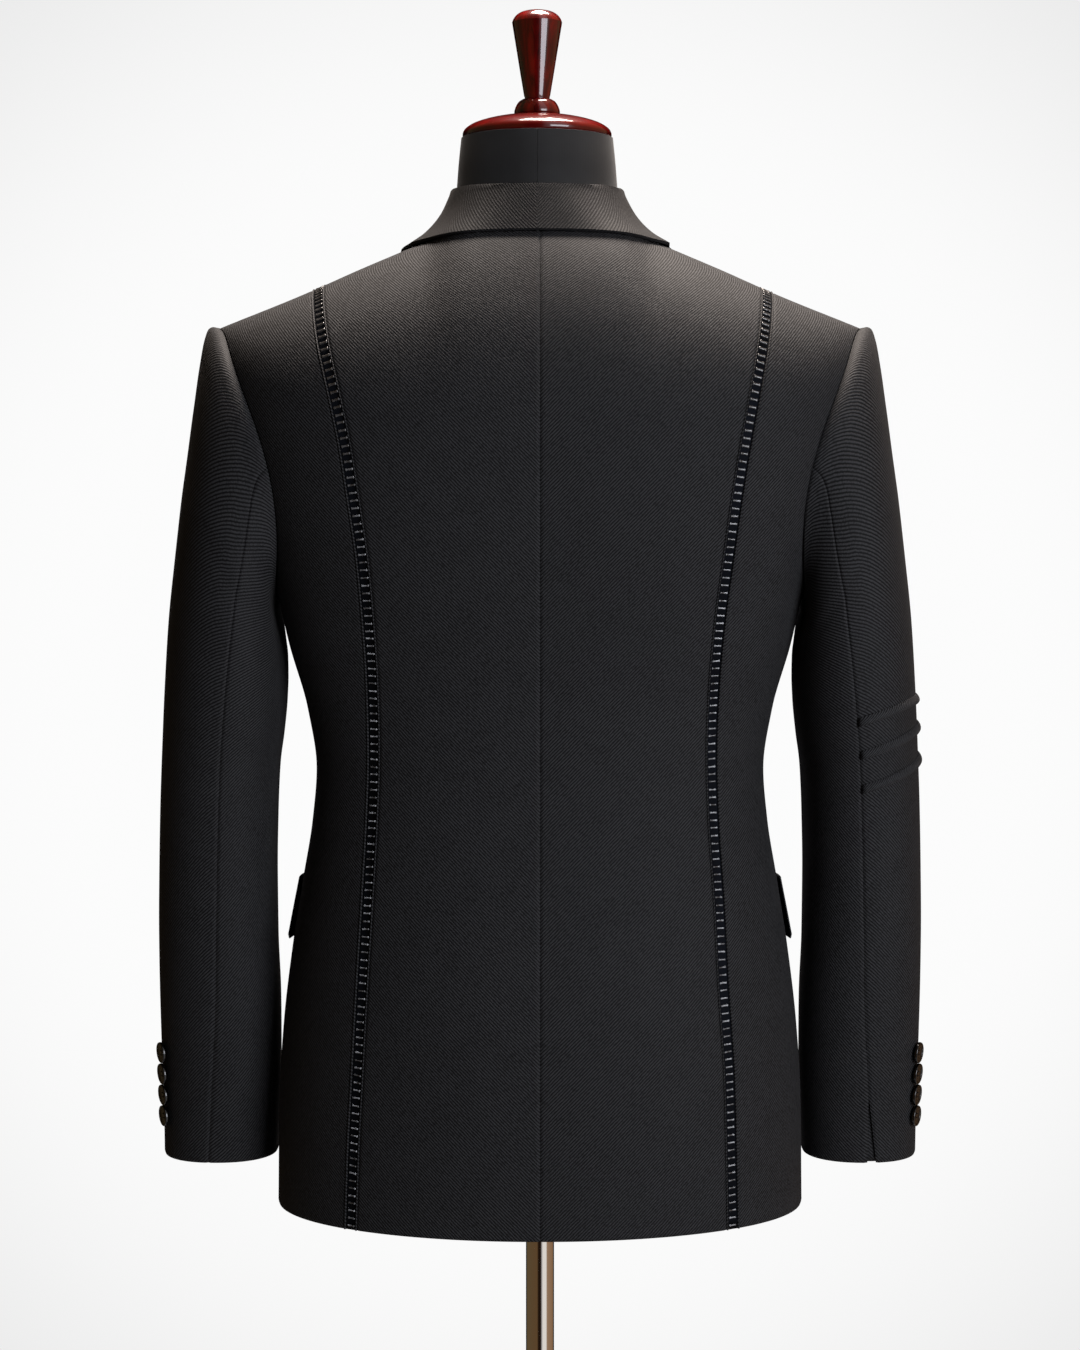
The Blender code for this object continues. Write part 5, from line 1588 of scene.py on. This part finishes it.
class TAILOR_OT_welts(bpy.types.Operator):
    """Sew the three rolled tucks across the right sleeve"""
    bl_idname = "tailor.welts"
    bl_label = "Sleeve Tucks"

    def execute(self, context):
        for number, row in enumerate(WELTS[1:], 1):
            # The tucks take the lighter copy of the twill, painted light
            piece = cloth_piece("cloth_sleeve_welt_%d" % number, welt_places(*row), "welt_twill",
                                WELT_CLOTH, -1)
            declared(piece, "welt",
                     ["sleeve_welt_%d" % number])
        return {"FINISHED"}


class TAILOR_OT_collar(bpy.types.Operator):
    """Roll the collar round the neck"""
    bl_idname = "tailor.collar"
    bl_label = "Collar"

    def execute(self, context):
        # The collar takes the darker copy of the twill, painted shade
        piece = on_scene("cloth_collar", collar_mesh(), [finish("collar_twill")], 50.0)
        declared(piece, "collar", ["collar"])
        return {"FINISHED"}


class TAILOR_OT_lapels(bpy.types.Operator):
    """Turn back the satin lapels"""
    bl_idname = "tailor.lapels"
    bl_label = "Lapels"

    def execute(self, context):
        for word, side in SIDES:
            piece = cloth_piece("cloth_lapel_" + word, lapel_places(side, spacing()), "satin",
                                LAPEL_CLOTH, side)
            declared(piece, "lapel", ["lapel_" + word])
        return {"FINISHED"}


class TAILOR_OT_flaps(bpy.types.Operator):
    """Hang the two pocket flaps"""
    bl_idname = "tailor.flaps"
    bl_label = "Pocket Flaps"

    def execute(self, context):
        for word, side in SIDES:
            piece = cloth_piece("cloth_flap_" + word, flap_places(spacing()), "twill", FLAP_CLOTH,
                                side, "lining")
            declared(piece, "flap", ["flap_" + word])
        return {"FINISHED"}


class TAILOR_OT_buttons(bpy.types.Operator):
    """Sew on the horn buttons"""
    bl_idname = "tailor.buttons"
    bl_label = "Buttons"

    def execute(self, context):
        for word, side in SIDES:
            for number, up in enumerate(BUTTON_UPS, 1):
                row = sleeve_row_at(up)
                name = "sleeve_button_%s_%d" % (word, number)
                piece = button_piece("horn_" + name, sleeve_point(BUTTON_ANGLE, row),
                                     sleeve_normal(BUTTON_ANGLE, row), BUTTON_RADIUS, side)
                settled(piece, "horn", name)
        normal = body_normal(FRONT_BUTTON_SHARE, FRONT_BUTTON_UP)
        point = body_point(-1.0, FRONT_BUTTON_UP) + normal * FRONT_BUTTON_LIFT
        piece = button_piece("horn_front_button", point, normal, FRONT_BUTTON_RADIUS)
        settled(piece, "horn", "front_button")
        return {"FINISHED"}


class TAILOR_OT_dress_form(bpy.types.Operator):
    """Cover the torso and neck of the dress form"""
    bl_idname = "tailor.dress_form"
    bl_label = "Dress Form"

    def execute(self, context):
        piece = on_scene("covered_form", form_mesh(), [finish("form_cover")], 45.0)
        settled(piece, "form_cover", "form_body")
        return {"FINISHED"}


class TAILOR_OT_stand(bpy.types.Operator):
    """Turn the neck cap, its handle, the pole and the base"""
    bl_idname = "tailor.stand"
    bl_label = "Cap and Stand"

    def execute(self, context):
        leaning = Matrix.Translation((NECK_X, 0, HEM_Z))
        settled(turned("lacquered_cap", rounded(CAP_PROFILE, 1, 8, 40), "cherry_plank", 96,
                       leaning), "cherry_wood", "neck_cap")
        settled(turned("lacquered_bead", rounded(BEAD_PROFILE, 1, 6, 24), "cherry_wood", 64,
                       leaning), "cherry_wood", "cap_bead")
        settled(turned("lacquered_handle", rounded(HANDLE_PROFILE, 4, 9, 24), "cherry_wood", 64,
                       leaning, 18.0), "cherry_wood", "cap_handle")
        foot = BASE_PROFILE[-1][1] + SEAM_GAP
        head = HEM_Z + FORM_FOOT_UP - SEAM_GAP
        tube = ((0.0, foot), (POLE_RADIUS, foot), (POLE_RADIUS, (foot + head) / 2),
                (POLE_RADIUS, head), (0.0, head))
        settled(turned("chromed_pole", tube, "chrome", 64), "chrome", "pole")
        rim = list(BASE_PROFILE)
        rim[1:4] = [(BASE_RADIUS - 0.0015, 0.0), (BASE_RADIUS, 0.0015), (BASE_RADIUS, 0.0045),
                    (BASE_RADIUS - 0.0015, 0.0066), (0.182, 0.0105)]
        rim = rounded(rim, 2, len(rim) - 3, 60)
        settled(turned("coated_base", rim, "base_paint", 128), "base_paint", "base")
        ring = Matrix.Translation((0, 0, foot))
        closed = FERRULE_PROFILE + FERRULE_PROFILE[:1]
        settled(turned("pole_ferrule", closed, "chrome", 64, ring), "chrome")
        return {"FINISHED"}


def soft_light(name, place, aim, size, power, tint, mirrored_too):
    lamp = bpy.data.lights.new(name, "AREA")
    lamp.shape = "RECTANGLE"
    lamp.size, lamp.size_y = size
    lamp.energy = power
    lamp.color = linear(tint)[:3]
    thing = bpy.data.objects.new(name, lamp)
    thing.location = place
    thing.rotation_euler = (Vector(aim) - Vector(place)).to_track_quat("-Z", "Y").to_euler()
    thing.visible_glossy = mirrored_too
    bpy.context.scene.collection.objects.link(thing)


def studio_world():
    """Pale backdrop for the camera, the room for mirrors, and a weak fill for the rest."""
    world = bpy.data.worlds.new("studio")
    world.use_nodes = True
    tree = world.node_tree
    tree.nodes.clear()
    place = add(tree, "ShaderNodeTexCoord")
    ahead = add(tree, "ShaderNodeVectorMath", {"operation": "DOT_PRODUCT"},
                i0=place.outputs["Generated"], i1=(0.0, -0.997, -0.07))
    bright = add(tree, "ShaderNodeMapRange", {"interpolation_type": "SMOOTHSTEP"},
                 Value=ahead.outputs["Value"], From_Min=0.93, From_Max=0.985, To_Min=0.80,
                 To_Max=0.98)
    seen = add(tree, "ShaderNodeBackground", Strength=bright.outputs[0], Color=linear("#fefefe"))
    split = add(tree, "ShaderNodeSeparateXYZ", Vector=place.outputs["Generated"])
    across = add(tree, "ShaderNodeMath", {"operation": "MULTIPLY"}, i0=split.outputs["X"],
                 i1=-1.0)
    turn = add(tree, "ShaderNodeMath", {"operation": "ARCTAN2"}, i0=across.outputs[0],
               i1=split.outputs["Y"])
    round_room = add(tree, "ShaderNodeMapRange", Value=turn.outputs[0], From_Min=-math.pi,
                     From_Max=math.pi)
    room = add(tree, "ShaderNodeValToRGB", Fac=round_room.outputs[0])
    stops = room.color_ramp.elements
    for degrees, colour in ROOM[1:-1]:
        stops.new((degrees + 180) / 360)
    for stop, (degrees, colour) in zip(stops, ROOM):
        stop.position = (degrees + 180) / 360
        stop.color = linear(colour)
    walls = add(tree, "ShaderNodeBackground", Strength=ROOM_LIGHT, Color=room.outputs[0])
    fill = add(tree, "ShaderNodeBackground", Strength=FILL_LIGHT, Color=linear("#f0f3ff"))
    path = add(tree, "ShaderNodeLightPath")
    lit = add(tree, "ShaderNodeMixShader", Fac=path.outputs["Is Glossy Ray"],
              i1=fill.outputs[0], i2=walls.outputs[0])
    both = add(tree, "ShaderNodeMixShader", Fac=path.outputs["Is Camera Ray"],
               i1=lit.outputs[0], i2=seen.outputs[0])
    add(tree, "ShaderNodeOutputWorld", Surface=both.outputs[0])
    return world


def studio_camera():
    camera = bpy.data.cameras.new("camera")
    camera.lens = CAMERA_LENS
    camera.sensor_width = 36.0
    camera.sensor_fit = "AUTO"
    camera.clip_start = 0.05
    holder = bpy.data.objects.new("camera", camera)
    holder.location = CAMERA_PLACE
    holder.rotation_euler = (math.radians(90 - CAMERA_DOWN), 0.0, math.radians(180))
    return holder


class TAILOR_OT_studio(bpy.types.Operator):
    """Set out the pale floor, the soft lights and the camera"""
    bl_idname = "tailor.studio"
    bl_label = "Studio"

    def execute(self, context):
        scene = context.scene
        data = bmesh.new()
        bmesh.ops.create_circle(data, cap_ends=True, segments=96, radius=1.0)
        floor = on_scene("studio_floor", data, [studio_floor("paper floor", "#b0b0b0")])
        for lamp in LAMPS:
            soft_light(*lamp)
        scene.world = studio_world()
        scene.camera = studio_camera()
        scene.collection.objects.link(scene.camera)
        scene.view_settings.view_transform = "Standard"
        scene.view_settings.look = "None"
        return {"FINISHED"}


class TAILOR_PT_panel(bpy.types.Panel):
    """Lists the jacket's pieces in the order in which they are made"""
    bl_idname = "TAILOR_PT_panel"
    bl_label = "Evening Jacket"
    bl_space_type = "VIEW_3D"
    bl_region_type = "UI"
    bl_category = "Tailor"

    def draw(self, context):
        settings = context.scene.tailor_look
        for name in TailorLook.__annotations__:
            self.layout.prop(settings, name)
        for step in STEPS:
            self.layout.operator(step.bl_idname)


STEPS = (TAILOR_OT_cloths, TAILOR_OT_studio, TAILOR_OT_back, TAILOR_OT_fronts, TAILOR_OT_trim,
         TAILOR_OT_sleeves, TAILOR_OT_welts, TAILOR_OT_collar, TAILOR_OT_lapels, TAILOR_OT_flaps,
         TAILOR_OT_buttons, TAILOR_OT_dress_form, TAILOR_OT_stand)
CLASSES = (TailorLook,) + STEPS + (TAILOR_PT_panel,)


def register():
    for each in CLASSES:
        bpy.utils.register_class(each)
    bpy.types.Scene.tailor_look = bpy.props.PointerProperty(type=TailorLook)


def unregister():
    del bpy.types.Scene.tailor_look
    for each in reversed(CLASSES):
        bpy.utils.unregister_class(each)


def main():
    bpy.context.view_layer.update()
    register()
    bpy.ops.tailor.cloths()
    bpy.ops.tailor.studio()
    bpy.ops.tailor.back()
    bpy.ops.tailor.fronts()
    bpy.ops.tailor.trim()
    bpy.ops.tailor.sleeves()
    bpy.ops.tailor.welts()
    bpy.ops.tailor.collar()
    bpy.ops.tailor.lapels()
    bpy.ops.tailor.flaps()
    bpy.ops.tailor.buttons()
    bpy.ops.tailor.dress_form()
    bpy.ops.tailor.stand()
    bpy.context.view_layer.update()


if __name__ == "__main__":
    main()
